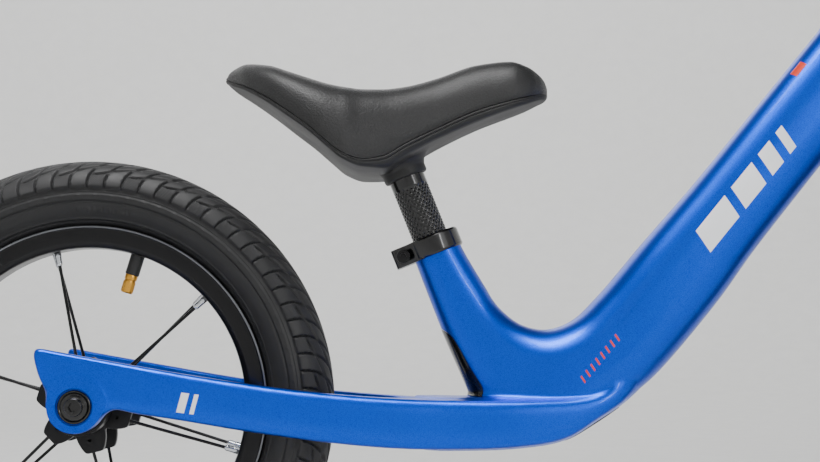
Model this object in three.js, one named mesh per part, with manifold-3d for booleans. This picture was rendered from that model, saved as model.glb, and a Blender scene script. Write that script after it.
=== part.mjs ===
// Child's balance bike, in millimetres. +X is forwards, +Z is up, and the origin is on the ground
// half way between the wheels. A hydroformed frame carries two spoked wheels, a turning fork with
// stem and handlebar, and a saddle on a clamped seat post.

import * as THREE from 'three';
import { mergeVertices } from 'three/addons/utils/BufferGeometryUtils.js';
import Module from 'manifold-3d';

const wasm = await Module();
wasm.setup();

// Driving dimensions
const WHEELBASE = 600;
const WHEEL_RADIUS = 148.5;
const FIT_GAP = 0.3;

const SEAT_AXIS_LEAN = 21.8; // degrees back from vertical
const COLLAR_FOOT = new THREE.Vector3(-88.8, 0, 240); // seat tube axis at the collar's lower edge
const COLLAR_HEIGHT = 12;
const SEAT_TUBE_RADIUS = 14;
const POST_RADIUS = 11.1;
const POST_TOP = 62; // measured along the seat tube axis from COLLAR_FOOT
const POST_BOTTOM = -63;
const POST_BORE_BOTTOM = -100;

const HEAD_ANGLE = 68; // degrees above horizontal
const FORK_RAKE = 12.2;
const HEAD_BOTTOM = 224; // measured along the steering axis from level with the front axle
const HEAD_LENGTH = 78;
const HEAD_RADIUS = 22;
const STEERER_RADIUS = 14.3;
const BEARING_HEIGHT = 8;
const COVER_HEIGHT = 10;
const STEM_HEIGHT = 33;
const STEM_REACH = 40;
const BAR_RADIUS = 11.1;
const BAR_HALF_WIDTH = 203;
const BAR_SHOULDER = 88; // half the distance between the bar's two upper corners
const BAR_DIP_HALF = 40;
const BAR_CORNER_CUT = 16;
const BAR_RISE = 50;
const BAR_SWEEP_BACK = 15;
const GRIP_START = 112;

const AXLE_RADIUS = 6;
const AXLE_HALF_LENGTH = 46.6;
const EYE_RADIUS = 15.2;
const EYE_INNER_FACE = 47;
const EYE_OUTER_FACE = 55;
const EYE_RECESS_RADIUS = 10.4;
const EYE_RECESS_DEPTH = 2.3;
const BOLT_SHANK_RADIUS = 3;

const RIM_INNER_RADIUS = 95;
const RIM_EDGE_RADIUS = 108.3;
const WHEEL_SEGMENTS = 32;
const SPOKE_OFFSET = 1.2; // each spoke of a pair passes this far beside the radial line
const SPOKE_PAIR_ANGLES = [-13.5, 46.5, 106.5, 166.5, 226.5, 286.5]; // clockwise from the top
const VALVE_ANGLE = 17;
const FLANGE_OFFSET = 20;
const FLANGE_THICKNESS = 6;
const LOBE_RADIUS = 28;
const LOBE_HALF_WIDTH = 6;

// Materials
const finish = (color, roughness, metalness) => ({ color, roughness, metalness });
const BLUE_PAINT = finish(0x0a5ac8, 0.32, 0.55);
const BLACK_GLOSS = finish(0x0c0c0e, 0.28, 0.2);
const BLACK_SATIN = finish(0x17171a, 0.5, 0.1);
const BLACK_RIM = finish(0x111113, 0.42, 0.5);
const TYRE_RUBBER = finish(0x1a1a1c, 0.85, 0);
const GRIP_RUBBER = finish(0x151517, 0.78, 0);
const SADDLE_VINYL = finish(0x1c1c1e, 0.6, 0);
const STEEL = finish(0xb8bcc2, 0.3, 0.95);

const group = new THREE.Group();
const SIDE = new THREE.Vector3(0, 1, 0);
const FORWARD = new THREE.Vector3(1, 0, 0);
const RIGHT = -1;
const LEFT = 1;

// --- Geometry helpers -----------------------------------------------------------------------

// Leaves only merged positions and an index, wound so that every face points out.
function closed(geometry) {
  const bare = new THREE.BufferGeometry();
  bare.setAttribute('position', geometry.attributes.position.clone());
  if (geometry.index) bare.setIndex(geometry.index.clone());
  const merged = mergeVertices(bare, 1e-4);
  const index = merged.index.array;
  const corners = [new THREE.Vector3(), new THREE.Vector3(), new THREE.Vector3()];
  const kept = [];
  let volume = 0;
  for (let i = 0; i < index.length; i += 3) {
    const [a, b, c] = index.slice(i, i + 3);
    if (a === b || b === c || c === a) continue;
    corners.forEach((corner, k) => {
      corner.fromBufferAttribute(merged.attributes.position, index[i + k]);
    });
    volume += corners[0].dot(corners[1].cross(corners[2]));
    kept.push(a, b, c);
  }
  merged.setIndex(volume > 0 ? kept : kept.reverse());
  return merged;
}

function solid(geometry) {
  const merged = closed(geometry);
  return new wasm.Manifold(
    new wasm.Mesh({
      numProp: 3,
      vertProperties: new Float32Array(merged.attributes.position.array),
      triVerts: new Uint32Array(merged.index.array),
    }),
  );
}

function joined(geometries) {
  return geometries.map(solid).reduce((total, next) => total.add(next));
}

function withCuts(body, cuts) {
  return cuts.reduce((rest, cut) => rest.subtract(solid(cut)), body);
}

function geometryOf(body) {
  const mesh = body.getMesh();
  const geometry = new THREE.BufferGeometry();
  geometry.setAttribute('position', new THREE.BufferAttribute(mesh.vertProperties, 3));
  geometry.setIndex(new THREE.BufferAttribute(mesh.triVerts, 1));
  return geometry;
}

function addMesh(name, geometry, look, parent = group) {
  const mesh = new THREE.Mesh(geometry, new THREE.MeshStandardMaterial(look));
  mesh.name = name;
  parent.add(mesh);
  return mesh;
}

// A solid of revolution about the Y axis. Each profile point is [radius, y].
function turned(profile, segments = 16) {
  return closed(new THREE.LatheGeometry(profile.map(([r, y]) => new THREE.Vector2(r, y)), segments));
}

const mirroredLoop = (half) => [...half, ...half.map(([r, y]) => [r, -y]).reverse()];

// A plain round bar from one point to another.
function bar(from, to, radius, segments = 16) {
  const axis = to.clone().sub(from);
  const geometry = new THREE.CylinderGeometry(radius, radius, axis.length(), segments);
  geometry.applyQuaternion(new THREE.Quaternion().setFromUnitVectors(SIDE, axis.clone().normalize()));
  const middle = from.clone().add(to).multiplyScalar(0.5);
  return geometry.translate(middle.x, middle.y, middle.z);
}

// A tube whose section changes along a smooth line. Each station is [x, y, z, width, depth], with
// the width across the line nearest to Y. A squareness of 2 is an ellipse and more is boxier.
function sweep(stations, { sides = 16, steps = 12, squareness = 2.3, line = null } = {}) {
  const path = line ?? new THREE.CatmullRomCurve3(stations.map(([x, y, z]) => new THREE.Vector3(x, y, z)));
  const sizes = new THREE.CatmullRomCurve3(stations.map(([, , , w, d]) => new THREE.Vector3(w, d, 0)));
  const geometry = new THREE.CylinderGeometry(1, 1, 1, sides, steps);
  const position = geometry.attributes.position;
  const local = new THREE.Vector3();
  for (let i = 0; i < position.count; i++) {
    local.fromBufferAttribute(position, i);
    const along = THREE.MathUtils.clamp(local.y + 0.5, 0, 1);
    const reach = Math.hypot(local.x, local.z);
    const round = (Math.abs(local.x) ** squareness + Math.abs(local.z) ** squareness) ** (1 / squareness);
    const stretch = reach > 0.5 ? 0.5 / round : 0;
    const forward = path.getTangent(along);
    const reference = Math.abs(forward.y) > 0.9 || line ? FORWARD : SIDE;
    const across = reference.clone().addScaledVector(forward, -forward.dot(reference)).normalize();
    const normal = across.clone().cross(forward);
    const size = sizes.getPoint(along);
    const point = path.getPoint(along);
    point.addScaledVector(across, local.x * stretch * size.x);
    point.addScaledVector(normal, local.z * stretch * size.y);
    position.setXYZ(i, point.x, point.y, point.z);
  }
  return closed(geometry);
}

// A flat shape drawn in X and Z, given a thickness along Y between two faces.
function plate(shape, yLow, yHigh, bevel = 0, curveSegments = 8) {
  const geometry = new THREE.ExtrudeGeometry(shape, {
    depth: yHigh - yLow - 2 * bevel,
    bevelEnabled: bevel > 0,
    bevelThickness: bevel,
    bevelSize: bevel,
    bevelOffset: -bevel,
    bevelSegments: 2,
    curveSegments,
  });
  geometry.rotateX(-Math.PI / 2);
  return geometry.translate(0, yLow + bevel, 0);
}

function box(x, y, z, sizeX, sizeY, sizeZ) {
  return new THREE.BoxGeometry(sizeX, sizeY, sizeZ).translate(x, y, z);
}

// --- Axes that the sub-parts hang on --------------------------------------------------------

const REAR_AXLE = new THREE.Vector3(-WHEELBASE / 2, 0, WHEEL_RADIUS);
const FRONT_AXLE = new THREE.Vector3(WHEELBASE / 2, 0, WHEEL_RADIUS);

const seatLean = THREE.MathUtils.degToRad(SEAT_AXIS_LEAN);
const seatUp = new THREE.Vector3(-Math.sin(seatLean), 0, Math.cos(seatLean));
const seatBack = new THREE.Vector3(-Math.cos(seatLean), 0, -Math.sin(seatLean));
const onSeat = (along, back = 0) =>
  COLLAR_FOOT.clone().addScaledVector(seatUp, along).addScaledVector(seatBack, back);

const headAngle = THREE.MathUtils.degToRad(HEAD_ANGLE);
const steerUp = new THREE.Vector3(-Math.cos(headAngle), 0, Math.sin(headAngle));
const steerForward = new THREE.Vector3(Math.sin(headAngle), 0, Math.cos(headAngle));
const steerFoot = FRONT_AXLE.clone().addScaledVector(steerForward, -FORK_RAKE);
const onSteer = (along, forward = 0, side = 0) =>
  steerFoot
    .clone()
    .addScaledVector(steerUp, along)
    .addScaledVector(steerForward, forward)
    .addScaledVector(SIDE, side);

// A group whose own Y axis lies along the steering axis, for turned parts.
function addSteerGroup(along) {
  const holder = new THREE.Group();
  holder.position.copy(onSteer(along));
  holder.quaternion.setFromUnitVectors(SIDE, steerUp);
  group.add(holder);
  return holder;
}

// --- Frame ----------------------------------------------------------------------------------

// Sections from the head tube down round the bend to the root of the stays.
const MAIN_TUBE = [
  [186, 0, 386, 42, 51],
  [166, 0, 361, 43, 51],
  [90, 0, 266.5, 46, 54],
  [28.6, 0, 193, 50, 57],
  [5, 0, 166, 56, 54],
  [-20, 0, 150, 64, 46],
  [-55, 0, 142, 70, 34],
  [-88, 0, 138.5, 74, 28],
];

// Sections of the right stay; the left one is its mirror image.
const STAY = [
  [10, -13, 152, 20, 26],
  [-18, -19, 141.5, 24, 27],
  [-45, -24.5, 138, 22, 28],
  [-85, -30, 137.3, 16, 28.5],
  [-111, -35, 138.3, 14, 29.5],
  [-147, -39, 141.8, 13, 31],
  [-202, -44, 148, 12, 28.5],
  [-229, -46.5, 152.5, 11, 28],
  [-262, -50, 158.7, 9, 27],
];

const SEAT_TUBE = [
  [11, 0, 28],
  [-5, 0, 28],
  [-30, -1, 31],
  [-60, -4.5, 38],
  [-92, -9, 47],
].map(([along, back, depth]) => [...onSeat(along, back).toArray(), 28 + (depth - 28) * 0.45, depth]);

function webBetweenTubes() {
  const top = new THREE.SplineCurve(
    [
      [-70, 236],
      [-60, 221],
      [-52, 208.5],
      [-38, 197],
      [-23, 194],
      [-8, 199],
      [6.5, 212],
      [24, 232],
    ].map(([x, z]) => new THREE.Vector2(x, -z)),
  );
  const foot = [
    [34, 222],
    [20, 180],
    [-45, 165],
    [-74, 218],
  ].map(([x, z]) => new THREE.Vector2(x, -z));
  return plate(new THREE.Shape([...top.getPoints(10), ...foot]), -12, 12);
}

// The plate that ends each stay: a tall fin over a round axle eye.
function dropout(side) {
  const { x, z } = REAR_AXLE;
  const shape = new THREE.Shape();
  shape.moveTo(x + 50, -(z + 21));
  shape.lineTo(x - 20, -(z + 32));
  shape.quadraticCurveTo(x - 26, -(z + 32.5), x - 25.4, -(z + 27));
  shape.bezierCurveTo(x - 24, -(z + 8), x - 16, -(z + 10), x - EYE_RADIUS, -z);
  shape.absarc(x, -z, EYE_RADIUS, Math.PI, 0.1, true);
  shape.quadraticCurveTo(x + 19, -(z - 2), x + 25, -(z - 2.2));
  shape.lineTo(x + 50, -(z - 6.5));
  const low = side === RIGHT ? -EYE_OUTER_FACE : EYE_INNER_FACE;
  return plate(shape, low, low + EYE_OUTER_FACE - EYE_INNER_FACE, 0, 7);
}

const mirrorStations = (stations) => stations.map(([x, y, ...rest]) => [x, -y, ...rest]);

// Holes through an axle eye, and the round recess that its washer sits in.
function eyeCuts(axle) {
  const hole = BOLT_SHANK_RADIUS + FIT_GAP;
  const through = bar(axle.clone().setY(-70), axle.clone().setY(70), hole, 10);
  const recesses = [RIGHT, LEFT].map((side) =>
    bar(
      axle.clone().setY(side * (EYE_OUTER_FACE - EYE_RECESS_DEPTH)),
      axle.clone().setY(side * 70),
      EYE_RECESS_RADIUS,
      20,
    ),
  );
  return [through, ...recesses];
}

// The wedge behind the seat tube that the black cover fills: the cover is this shape less a margin.
function coverWedge(margin) {
  const outline = [
    [-46 + 2 * margin, 0],
    [-53 + 2 * margin, 17 + margin],
    [-93 - margin, 17 + margin],
    [-93 - margin, -17 - margin],
    [-53 + 2 * margin, -17 - margin],
  ];
  const shape = new THREE.Shape(outline.map(([along, side]) => new THREE.Vector2(side, along)));
  const geometry = new THREE.ExtrudeGeometry(shape, { depth: 20, bevelEnabled: false });
  const axes = new THREE.Matrix4().makeBasis(SIDE.clone().negate(), seatUp, seatBack);
  const start = onSeat(0, 9 - margin);
  return geometry.applyMatrix4(axes.setPosition(start));
}

const GUARD_EDGE = [
  [-16, 125.4],
  [-2, 130.2],
  [11, 137.4],
  [24, 146.5],
  [40, 160.7],
];

// A strip let into the underside of the bend, following its lower edge, grown by a margin above and
// at its ends, and by its own amount below.
function guardStrip(margin, below) {
  const edge = new THREE.SplineCurve(GUARD_EDGE.map(([x, z]) => new THREE.Vector2(x, -z)));
  const depth = 4;
  const count = 8;
  const outer = [];
  const inner = [];
  for (let i = 0; i <= count; i++) {
    const along = edge.getTangent(i / count);
    const inwards = new THREE.Vector2(along.y, -along.x);
    const end = i === 0 ? -1 : Math.floor(i / count);
    const point = edge.getPoint(i / count).addScaledVector(along, end * margin);
    outer.push(point.clone().addScaledVector(inwards, -below));
    inner.push(point.clone().addScaledVector(inwards, depth + margin));
  }
  const shape = new THREE.Shape([...outer, ...inner.reverse()]);
  return plate(shape, -13 - margin, 13 + margin);
}

function addFrame() {
  const body = joined([
    bar(onSteer(HEAD_BOTTOM), onSteer(HEAD_BOTTOM + HEAD_LENGTH), HEAD_RADIUS, 24),
    sweep(MAIN_TUBE, { sides: 14, steps: 12, squareness: 2.6 }),
    sweep(SEAT_TUBE, { sides: 16, steps: 5, squareness: 2 }),
    webBetweenTubes(),
    ...[STAY, mirrorStations(STAY)].map((stations) =>
      sweep(stations, { sides: 10, steps: 11, squareness: 3 }),
    ),
    dropout(RIGHT),
    dropout(LEFT),
  ]);
  const bearingPocket = STEERER_RADIUS + 5.4;
  const headTop = HEAD_BOTTOM + HEAD_LENGTH;
  const cuts = [
    bar(onSeat(POST_BORE_BOTTOM), onSeat(20), POST_RADIUS + FIT_GAP, 18),
    box(0, 0, 0, 14, 2, 26).applyMatrix4(seatMatrix(4, 13)),
    bar(onSteer(HEAD_BOTTOM - 5), onSteer(headTop + 5), STEERER_RADIUS + 1.5),
    bar(onSteer(HEAD_BOTTOM - 5), onSteer(HEAD_BOTTOM + BEARING_HEIGHT), bearingPocket),
    bar(onSteer(headTop - BEARING_HEIGHT), onSteer(headTop + 5), bearingPocket),
    ...eyeCuts(REAR_AXLE),
    guardStrip(FIT_GAP, 5),
  ];
  const cover = solid(coverWedge(0)).subtract(solid(coverCore(0.7 + FIT_GAP)));
  const pocket = solid(coverWedge(FIT_GAP)).subtract(solid(coverCore(0.7)));
  const shell = solid(sweep(SEAT_TUBE, { sides: 16, steps: 5, squareness: 2 }));
  addMesh('main_frame', geometryOf(withCuts(body, cuts).subtract(pocket)), BLUE_PAINT);
  addMesh('seat_tube_cover', geometryOf(cover.intersect(shell)), BLACK_GLOSS);
  addMesh('belly_guard', guardStrip(0, 0), BLACK_SATIN);
}

// Places a piece drawn about the origin at a point of the seat tube axis, standing along it.
function seatMatrix(along, back = 0) {
  const matrix = new THREE.Matrix4().makeBasis(seatBack, SIDE, seatBack.clone().cross(SIDE));
  return matrix.setPosition(onSeat(along, back));
}

// What stays of the seat tube's wall behind the cover.
function coverCore(wall) {
  return bar(onSeat(-130), onSeat(0), POST_RADIUS + FIT_GAP + wall, 20);
}

// --- Seat clamp, post and saddle ------------------------------------------------------------

const CLAMP_EAR_BACK = 20;

function addSeatClamp() {
  const middle = COLLAR_HEIGHT / 2;
  const ring = joined([
    bar(onSeat(0), onSeat(COLLAR_HEIGHT), SEAT_TUBE_RADIUS + 3.2, 24),
    box(0, 0, 0, 12, 16, COLLAR_HEIGHT).applyMatrix4(seatMatrix(middle, CLAMP_EAR_BACK - 1)),
  ]);
  const boltLine = onSeat(middle, CLAMP_EAR_BACK);
  const boltHole = bar(boltLine.clone().setY(-20), boltLine.clone().setY(20), 2.8, 12);
  const cuts = [
    bar(onSeat(-5), onSeat(COLLAR_HEIGHT + 5), SEAT_TUBE_RADIUS + FIT_GAP + 0.2, 20),
    box(0, 0, 0, 30, 2.4, COLLAR_HEIGHT + 4).applyMatrix4(seatMatrix(middle, CLAMP_EAR_BACK)),
    boltHole,
  ];
  addMesh('seat_clamp', geometryOf(withCuts(ring, cuts)), BLACK_GLOSS);
  addMesh('seat_clamp_bolt', geometryOf(socketBolt(4, 4, 2.5, 15, 2.2)), BLACK_GLOSS)
    .position.copy(onSeat(middle, CLAMP_EAR_BACK).setY(-8.3));
}

// A socket-headed bolt along Y, head towards -Y, with the underside of its head at the origin.
function socketBolt(headRadius, headHeight, shankRadius, length, socketRadius) {
  const body = turned(
    [
      [0, -headHeight],
      [headRadius, -headHeight],
      [headRadius, 0],
      [shankRadius, 0],
      [shankRadius, length],
      [0, length],
    ],
    16,
  );
  const socket = new THREE.CylinderGeometry(socketRadius, socketRadius, headHeight * 1.2, 6);
  return withCuts(solid(body), [socket.translate(0, -headHeight, 0)]);
}

function addSeatPost() {
  const chamfer = 1.5;
  const post = new THREE.LatheGeometry(
    [
      [0, POST_BOTTOM],
      [POST_RADIUS - chamfer, POST_BOTTOM],
      [POST_RADIUS, POST_BOTTOM + chamfer],
      [POST_RADIUS, POST_TOP],
      [0, POST_TOP],
    ].map(([r, y]) => new THREE.Vector2(r, y)),
    18,
  );
  const mesh = addMesh('seat_post', closed(post), BLACK_GLOSS);
  mesh.position.copy(COLLAR_FOOT);
  mesh.quaternion.setFromUnitVectors(SIDE, seatUp);
}

// Saddle stations from tail to nose: x, half width, top, seam and underside heights.
const SADDLE = [
  [-218.6, 4, 348.5, 347, 345.5],
  [-213, 15, 353, 343.5, 341.5],
  [-205, 28, 356, 339.5, 337.3],
  [-191.4, 42, 354.2, 331.5, 328.8],
  [-178.6, 50, 350, 322.5, 319.5],
  [-165.7, 55, 345.5, 313, 310],
  [-155.8, 57, 342.5, 304.5, 301.5],
  [-146, 56.5, 340.8, 297, 293.5],
  [-134, 52, 339.5, 293.4, 289],
  [-122, 47, 339.8, 295.5, 288.5],
  [-108, 41, 342, 303.8, 296.5],
  [-89.5, 34, 346.3, 313.5, 307],
  [-63.7, 28, 355.8, 325.5, 319],
  [-44, 26, 358.2, 331.5, 326.5],
  [-31.4, 20, 353.5, 334.8, 331],
  [-21, 6, 342, 338.3, 336],
];

// A closed body across the saddle stations, with an edge line on each of its sides.
function saddleBody(sectionAt, sides, steps) {
  const rows = [0, 1].map(
    (part) =>
      new THREE.CatmullRomCurve3(
        SADDLE.map(([x, half, top, seam, under]) =>
          part === 0 ? new THREE.Vector3(x, half, top) : new THREE.Vector3(seam, under, 0),
        ),
      ),
  );
  const geometry = new THREE.CylinderGeometry(1, 1, 1, sides, steps);
  const position = geometry.attributes.position;
  for (let i = 0; i < position.count; i++) {
    const along = THREE.MathUtils.clamp(position.getY(i) + 0.5, 0, 1);
    const outer = rows[0].getPoint(along);
    const inner = rows[1].getPoint(along);
    const heights = { half: outer.y, top: outer.z, seam: inner.x, under: inner.y };
    const [y, z] = sectionAt(position.getX(i), position.getZ(i), heights);
    position.setXYZ(i, outer.x, y, z);
  }
  return closed(geometry);
}

function addSaddle() {
  const gap = FIT_GAP / 2;
  const pad = saddleBody(
    (side, up, { half, top, seam }) => {
      const crown = Math.max(up, 0) ** 0.75;
      return [side * half, seam + gap + (top - seam - gap) * crown];
    },
    14,
    14,
  );
  const base = saddleBody(
    (side, up, { half, seam, under }) => {
      const drop = Math.max(-up, 0) ** 0.6;
      return [side * (half - 1), seam - gap - (seam - gap - under) * drop];
    },
    14,
    14,
  );
  const socket = bar(onSeat(POST_TOP - 5), onSeat(POST_TOP + 1.5), POST_RADIUS + 2.4);
  const bore = bar(onSeat(0), onSeat(POST_TOP + FIT_GAP), POST_RADIUS + FIT_GAP + 0.2, 18);
  addMesh('saddle_pad', pad, SADDLE_VINYL);
  addMesh('saddle_base', geometryOf(withCuts(joined([base, socket]), [bore])), BLACK_SATIN);
}

// --- Wheels ---------------------------------------------------------------------------------

const TYRE_OUTSIDE = [
  [103, 10.5],
  [108.9, 10.5],
  [114, 18],
  [124, 23.4],
  [135, 22.8],
  [145, 14.5],
];
const TYRE_INSIDE = [
  [141, 11],
  [126, 19.8],
  [103, 7.5],
];
const RIM_HALF = [
  [RIM_INNER_RADIUS, 9.5],
  [98.5, 12],
  [RIM_EDGE_RADIUS, 12.4],
  [RIM_EDGE_RADIUS, 10.9],
  [102.6, 10.8],
  [100.3, 7],
];
const HUB_HALF = [
  [10, 33],
  [14, 33],
  [14, 42],
  [17.5, 42],
  [17.5, 27],
  [15, 24],
];

// Both halves of a ring's section, joined into one loop.
function ringLoop(half) {
  const loop = mirroredLoop(half);
  return turned([...loop, loop[0]], WHEEL_SEGMENTS);
}

function tyreGeometry() {
  const across = ([r, y]) => [r, -y];
  const outside = [...TYRE_OUTSIDE, [WHEEL_RADIUS, 0], ...TYRE_OUTSIDE.map(across).reverse()];
  const inside = [...TYRE_INSIDE.map(across).reverse(), ...TYRE_INSIDE];
  return turned([...outside, ...inside, outside[0]], WHEEL_SEGMENTS);
}

const wheelDirection = (degrees) => {
  const angle = THREE.MathUtils.degToRad(degrees);
  return new THREE.Vector3(Math.sin(angle), 0, Math.cos(angle));
};

function innerTubeGeometry() {
  const steps = 6;
  const section = [];
  for (let i = 0; i <= steps; i++) {
    const angle = (i / steps) * Math.PI * 2;
    section.push([126 + 13.5 * Math.cos(angle), 15 * Math.sin(angle)]);
  }
  const radial = wheelDirection(VALVE_ANGLE);
  const stem = bar(radial.clone().multiplyScalar(82), radial.clone().multiplyScalar(120), 4.3, 12);
  const tip = bar(radial.clone().multiplyScalar(71), radial.clone().multiplyScalar(83), 3.85, 12);
  return geometryOf(joined([turned(section, 24), stem, tip]));
}

function rimGeometry() {
  const radial = wheelDirection(VALVE_ANGLE);
  const valveHole = bar(radial.clone().multiplyScalar(85), radial.clone().multiplyScalar(118), 4.8, 12);
  return geometryOf(withCuts(solid(ringLoop(RIM_HALF)), [valveHole]));
}

// A star-shaped flange with one lobe for each spoke that it holds.
function flange(yMiddle) {
  const points = [];
  for (const degrees of SPOKE_PAIR_ANGLES) {
    const radial = wheelDirection(degrees);
    const tangent = wheelDirection(degrees + 90);
    const lobe = [
      [21, -LOBE_HALF_WIDTH - 2],
      [LOBE_RADIUS, -LOBE_HALF_WIDTH],
      [LOBE_RADIUS, LOBE_HALF_WIDTH],
      [21, LOBE_HALF_WIDTH + 2],
    ];
    for (const [r, t] of lobe) {
      const point = radial.clone().multiplyScalar(r).addScaledVector(tangent, t);
      points.push(new THREE.Vector2(point.x, -point.z));
    }
    const valley = wheelDirection(degrees + 30).multiplyScalar(18.5);
    points.push(new THREE.Vector2(valley.x, -valley.z));
  }
  return plate(new THREE.Shape(points), yMiddle - FLANGE_THICKNESS / 2, yMiddle + FLANGE_THICKNESS / 2);
}

function hubGeometry() {
  const loop = mirroredLoop(HUB_HALF);
  const shell = turned([...loop, loop[0]], 18);
  const bore = bar(new THREE.Vector3(0, -30, 0), new THREE.Vector3(0, 30, 0), 12, 20);
  const flanges = [RIGHT, LEFT].map((side) =>
    solid(flange(side * FLANGE_OFFSET)).subtract(solid(bore)),
  );
  return geometryOf(flanges.reduce((total, part) => total.add(part), solid(shell)));
}

// One straight spoke with its nipple, from a flange lobe to the rim.
function spokeGeometry(degrees, side) {
  const radial = wheelDirection(degrees);
  const aside = wheelDirection(degrees + 90).multiplyScalar(-side * SPOKE_OFFSET);
  const placed = (r, y) => radial.clone().multiplyScalar(r).add(aside).setY(y);
  const from = placed(LOBE_RADIUS + FIT_GAP, side * FLANGE_OFFSET);
  const to = placed(RIM_INNER_RADIUS - 1.5, side * 3);
  const length = from.distanceTo(to);
  const spoke = turned(
    [
      [0, 0],
      [1, 0],
      [1, length - 9],
      [1.9, length - 8],
      [1.9, length],
      [0, length],
    ],
    6,
  );
  spoke.applyQuaternion(new THREE.Quaternion().setFromUnitVectors(SIDE, to.clone().sub(from).normalize()));
  return spoke.translate(from.x, from.y, from.z);
}

function bearingGeometry() {
  const loop = [
    [AXLE_RADIUS + FIT_GAP, -3.9],
    [13.7, -3.9],
    [13.7, 3.9],
    [AXLE_RADIUS + FIT_GAP, 3.9],
  ];
  return turned([...loop, loop[0]]);
}

function addWheel(prefix, axle) {
  const wheel = new THREE.Group();
  wheel.position.copy(axle);
  group.add(wheel);
  addMesh(`${prefix}_tyre`, tyreGeometry(), TYRE_RUBBER, wheel);
  addMesh(`${prefix}_inner_tube`, innerTubeGeometry(), TYRE_RUBBER, wheel);
  addMesh(`${prefix}_rim`, rimGeometry(), BLACK_RIM, wheel);
  addMesh(`${prefix}_hub_shell`, hubGeometry(), BLACK_GLOSS, wheel);
  addMesh(`${prefix}_bearing_right`, bearingGeometry(), STEEL, wheel).position.setY(-37.6);
  addMesh(`${prefix}_bearing_left`, bearingGeometry(), STEEL, wheel).position.setY(37.6);
  SPOKE_PAIR_ANGLES.forEach((degrees, i) => {
    [RIGHT, LEFT].forEach((side, k) => {
      const number = String(2 * i + k + 1).padStart(2, '0');
      addMesh(`${prefix}_spoke_${number}`, spokeGeometry(degrees, side), BLACK_GLOSS, wheel);
    });
  });
}

function addAxle(prefix, axle) {
  const holder = new THREE.Group();
  holder.position.copy(axle);
  group.add(holder);
  const bore = BOLT_SHANK_RADIUS + FIT_GAP;
  const half = [
    [0, 28],
    [bore, 28],
    [bore, AXLE_HALF_LENGTH],
    [AXLE_RADIUS, AXLE_HALF_LENGTH],
  ];
  addMesh(`${prefix}_axle`, turned(mirroredLoop(half)), STEEL, holder);
  for (const [name, side] of [
    ['right', RIGHT],
    ['left', LEFT],
  ]) {
    const bolt = addMesh(`${prefix}_axle_bolt_${name}`, axleBoltGeometry(), BLACK_GLOSS, holder);
    bolt.position.setY(side * (EYE_OUTER_FACE - EYE_RECESS_DEPTH + FIT_GAP));
    if (side === LEFT) bolt.rotation.x = Math.PI;
  }
}

// A bolt with its dished washer, head towards -Y, washer face at the origin.
function axleBoltGeometry() {
  const body = turned(
    [
      [0, -5.4],
      [5, -5.4],
      [5.3, -5],
      [5.3, -1.6],
      [10, -1.8],
      [10, 0],
      [BOLT_SHANK_RADIUS, 0],
      [BOLT_SHANK_RADIUS, 22],
      [0, 22],
    ],
    18,
  );
  const socket = new THREE.CylinderGeometry(3.2, 3.2, 6, 6).translate(0, -5.4, 0);
  return geometryOf(withCuts(solid(body), [socket]));
}

// --- Fork and steering ----------------------------------------------------------------------

// Fork blade from crown to axle eye: along and ahead of the steering axis, sideways, width, depth.
const BLADE = [
  [206, 0, 6, 24, 40],
  [197, 0, 24, 26, 36],
  [178, 0, 38, 19, 31],
  [140, 0.5, 42.5, 15, 28],
  [90, 2.5, 45.5, 13, 25],
  [45, 6.5, 48.5, 11, 22],
  [12, 11, 50.5, 9, 19],
];

function bladeSweep(side) {
  const stations = BLADE.map(([along, ahead, out, width, depth]) => [
    ...onSteer(along, ahead, side * out).toArray(),
    width,
    depth,
  ]);
  return sweep(stations, { sides: 10, steps: 8, squareness: 2.5 });
}

function addFork() {
  const crownTop = HEAD_BOTTOM - FIT_GAP;
  const eyes = [RIGHT, LEFT].map((side) => {
    const inner = FRONT_AXLE.clone().setY(side * EYE_INNER_FACE);
    const outer = FRONT_AXLE.clone().setY(side * EYE_OUTER_FACE);
    return bar(inner, outer, EYE_RADIUS, 24);
  });
  const body = joined([
    bar(onSteer(192), onSteer(crownTop), HEAD_RADIUS - 1, 20),
    bar(onSteer(210), onSteer(HEAD_BOTTOM + HEAD_LENGTH + COVER_HEIGHT + STEM_HEIGHT - 3), STEERER_RADIUS),
    bladeSweep(RIGHT),
    bladeSweep(LEFT),
    ...eyes,
  ]);
  addMesh('fork', geometryOf(withCuts(body, eyeCuts(FRONT_AXLE))), BLUE_PAINT);
}

// A ring about the steering axis, from its own foot up to a height.
function steerRing(inner, outerFoot, outerTop, height) {
  return turned(
    [
      [inner, 0],
      [outerFoot, 0],
      [outerTop, height],
      [inner, height],
      [inner, 0],
    ],
    24,
  );
}

function addHeadset() {
  const inner = STEERER_RADIUS + FIT_GAP;
  const outer = STEERER_RADIUS + 5 - FIT_GAP;
  const height = BEARING_HEIGHT - 2 * FIT_GAP;
  const headTop = HEAD_BOTTOM + HEAD_LENGTH;
  const ring = () => steerRing(inner, outer, outer, height);
  addMesh('lower_headset_bearing', ring(), STEEL, addSteerGroup(HEAD_BOTTOM + FIT_GAP));
  addMesh('upper_headset_bearing', ring(), STEEL, addSteerGroup(headTop - BEARING_HEIGHT + FIT_GAP));
  const cover = steerRing(inner, HEAD_RADIUS - 0.5, HEAD_RADIUS - 4, COVER_HEIGHT - 2 * FIT_GAP);
  addMesh('headset_cover', cover, BLACK_SATIN, addSteerGroup(headTop + FIT_GAP));
}

const STEM_FOOT = HEAD_BOTTOM + HEAD_LENGTH + COVER_HEIGHT;
const BAR_LEVEL = STEM_FOOT + STEM_HEIGHT / 2;
const CLAMP_RADIUS = BAR_RADIUS + 5;
const CLAMP_HALF_WIDTH = 20;

function barClamp(radius, halfWidth) {
  const left = onSteer(BAR_LEVEL, STEM_REACH, -halfWidth);
  const right = onSteer(BAR_LEVEL, STEM_REACH, halfWidth);
  return bar(left, right, radius, 18);
}

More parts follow.
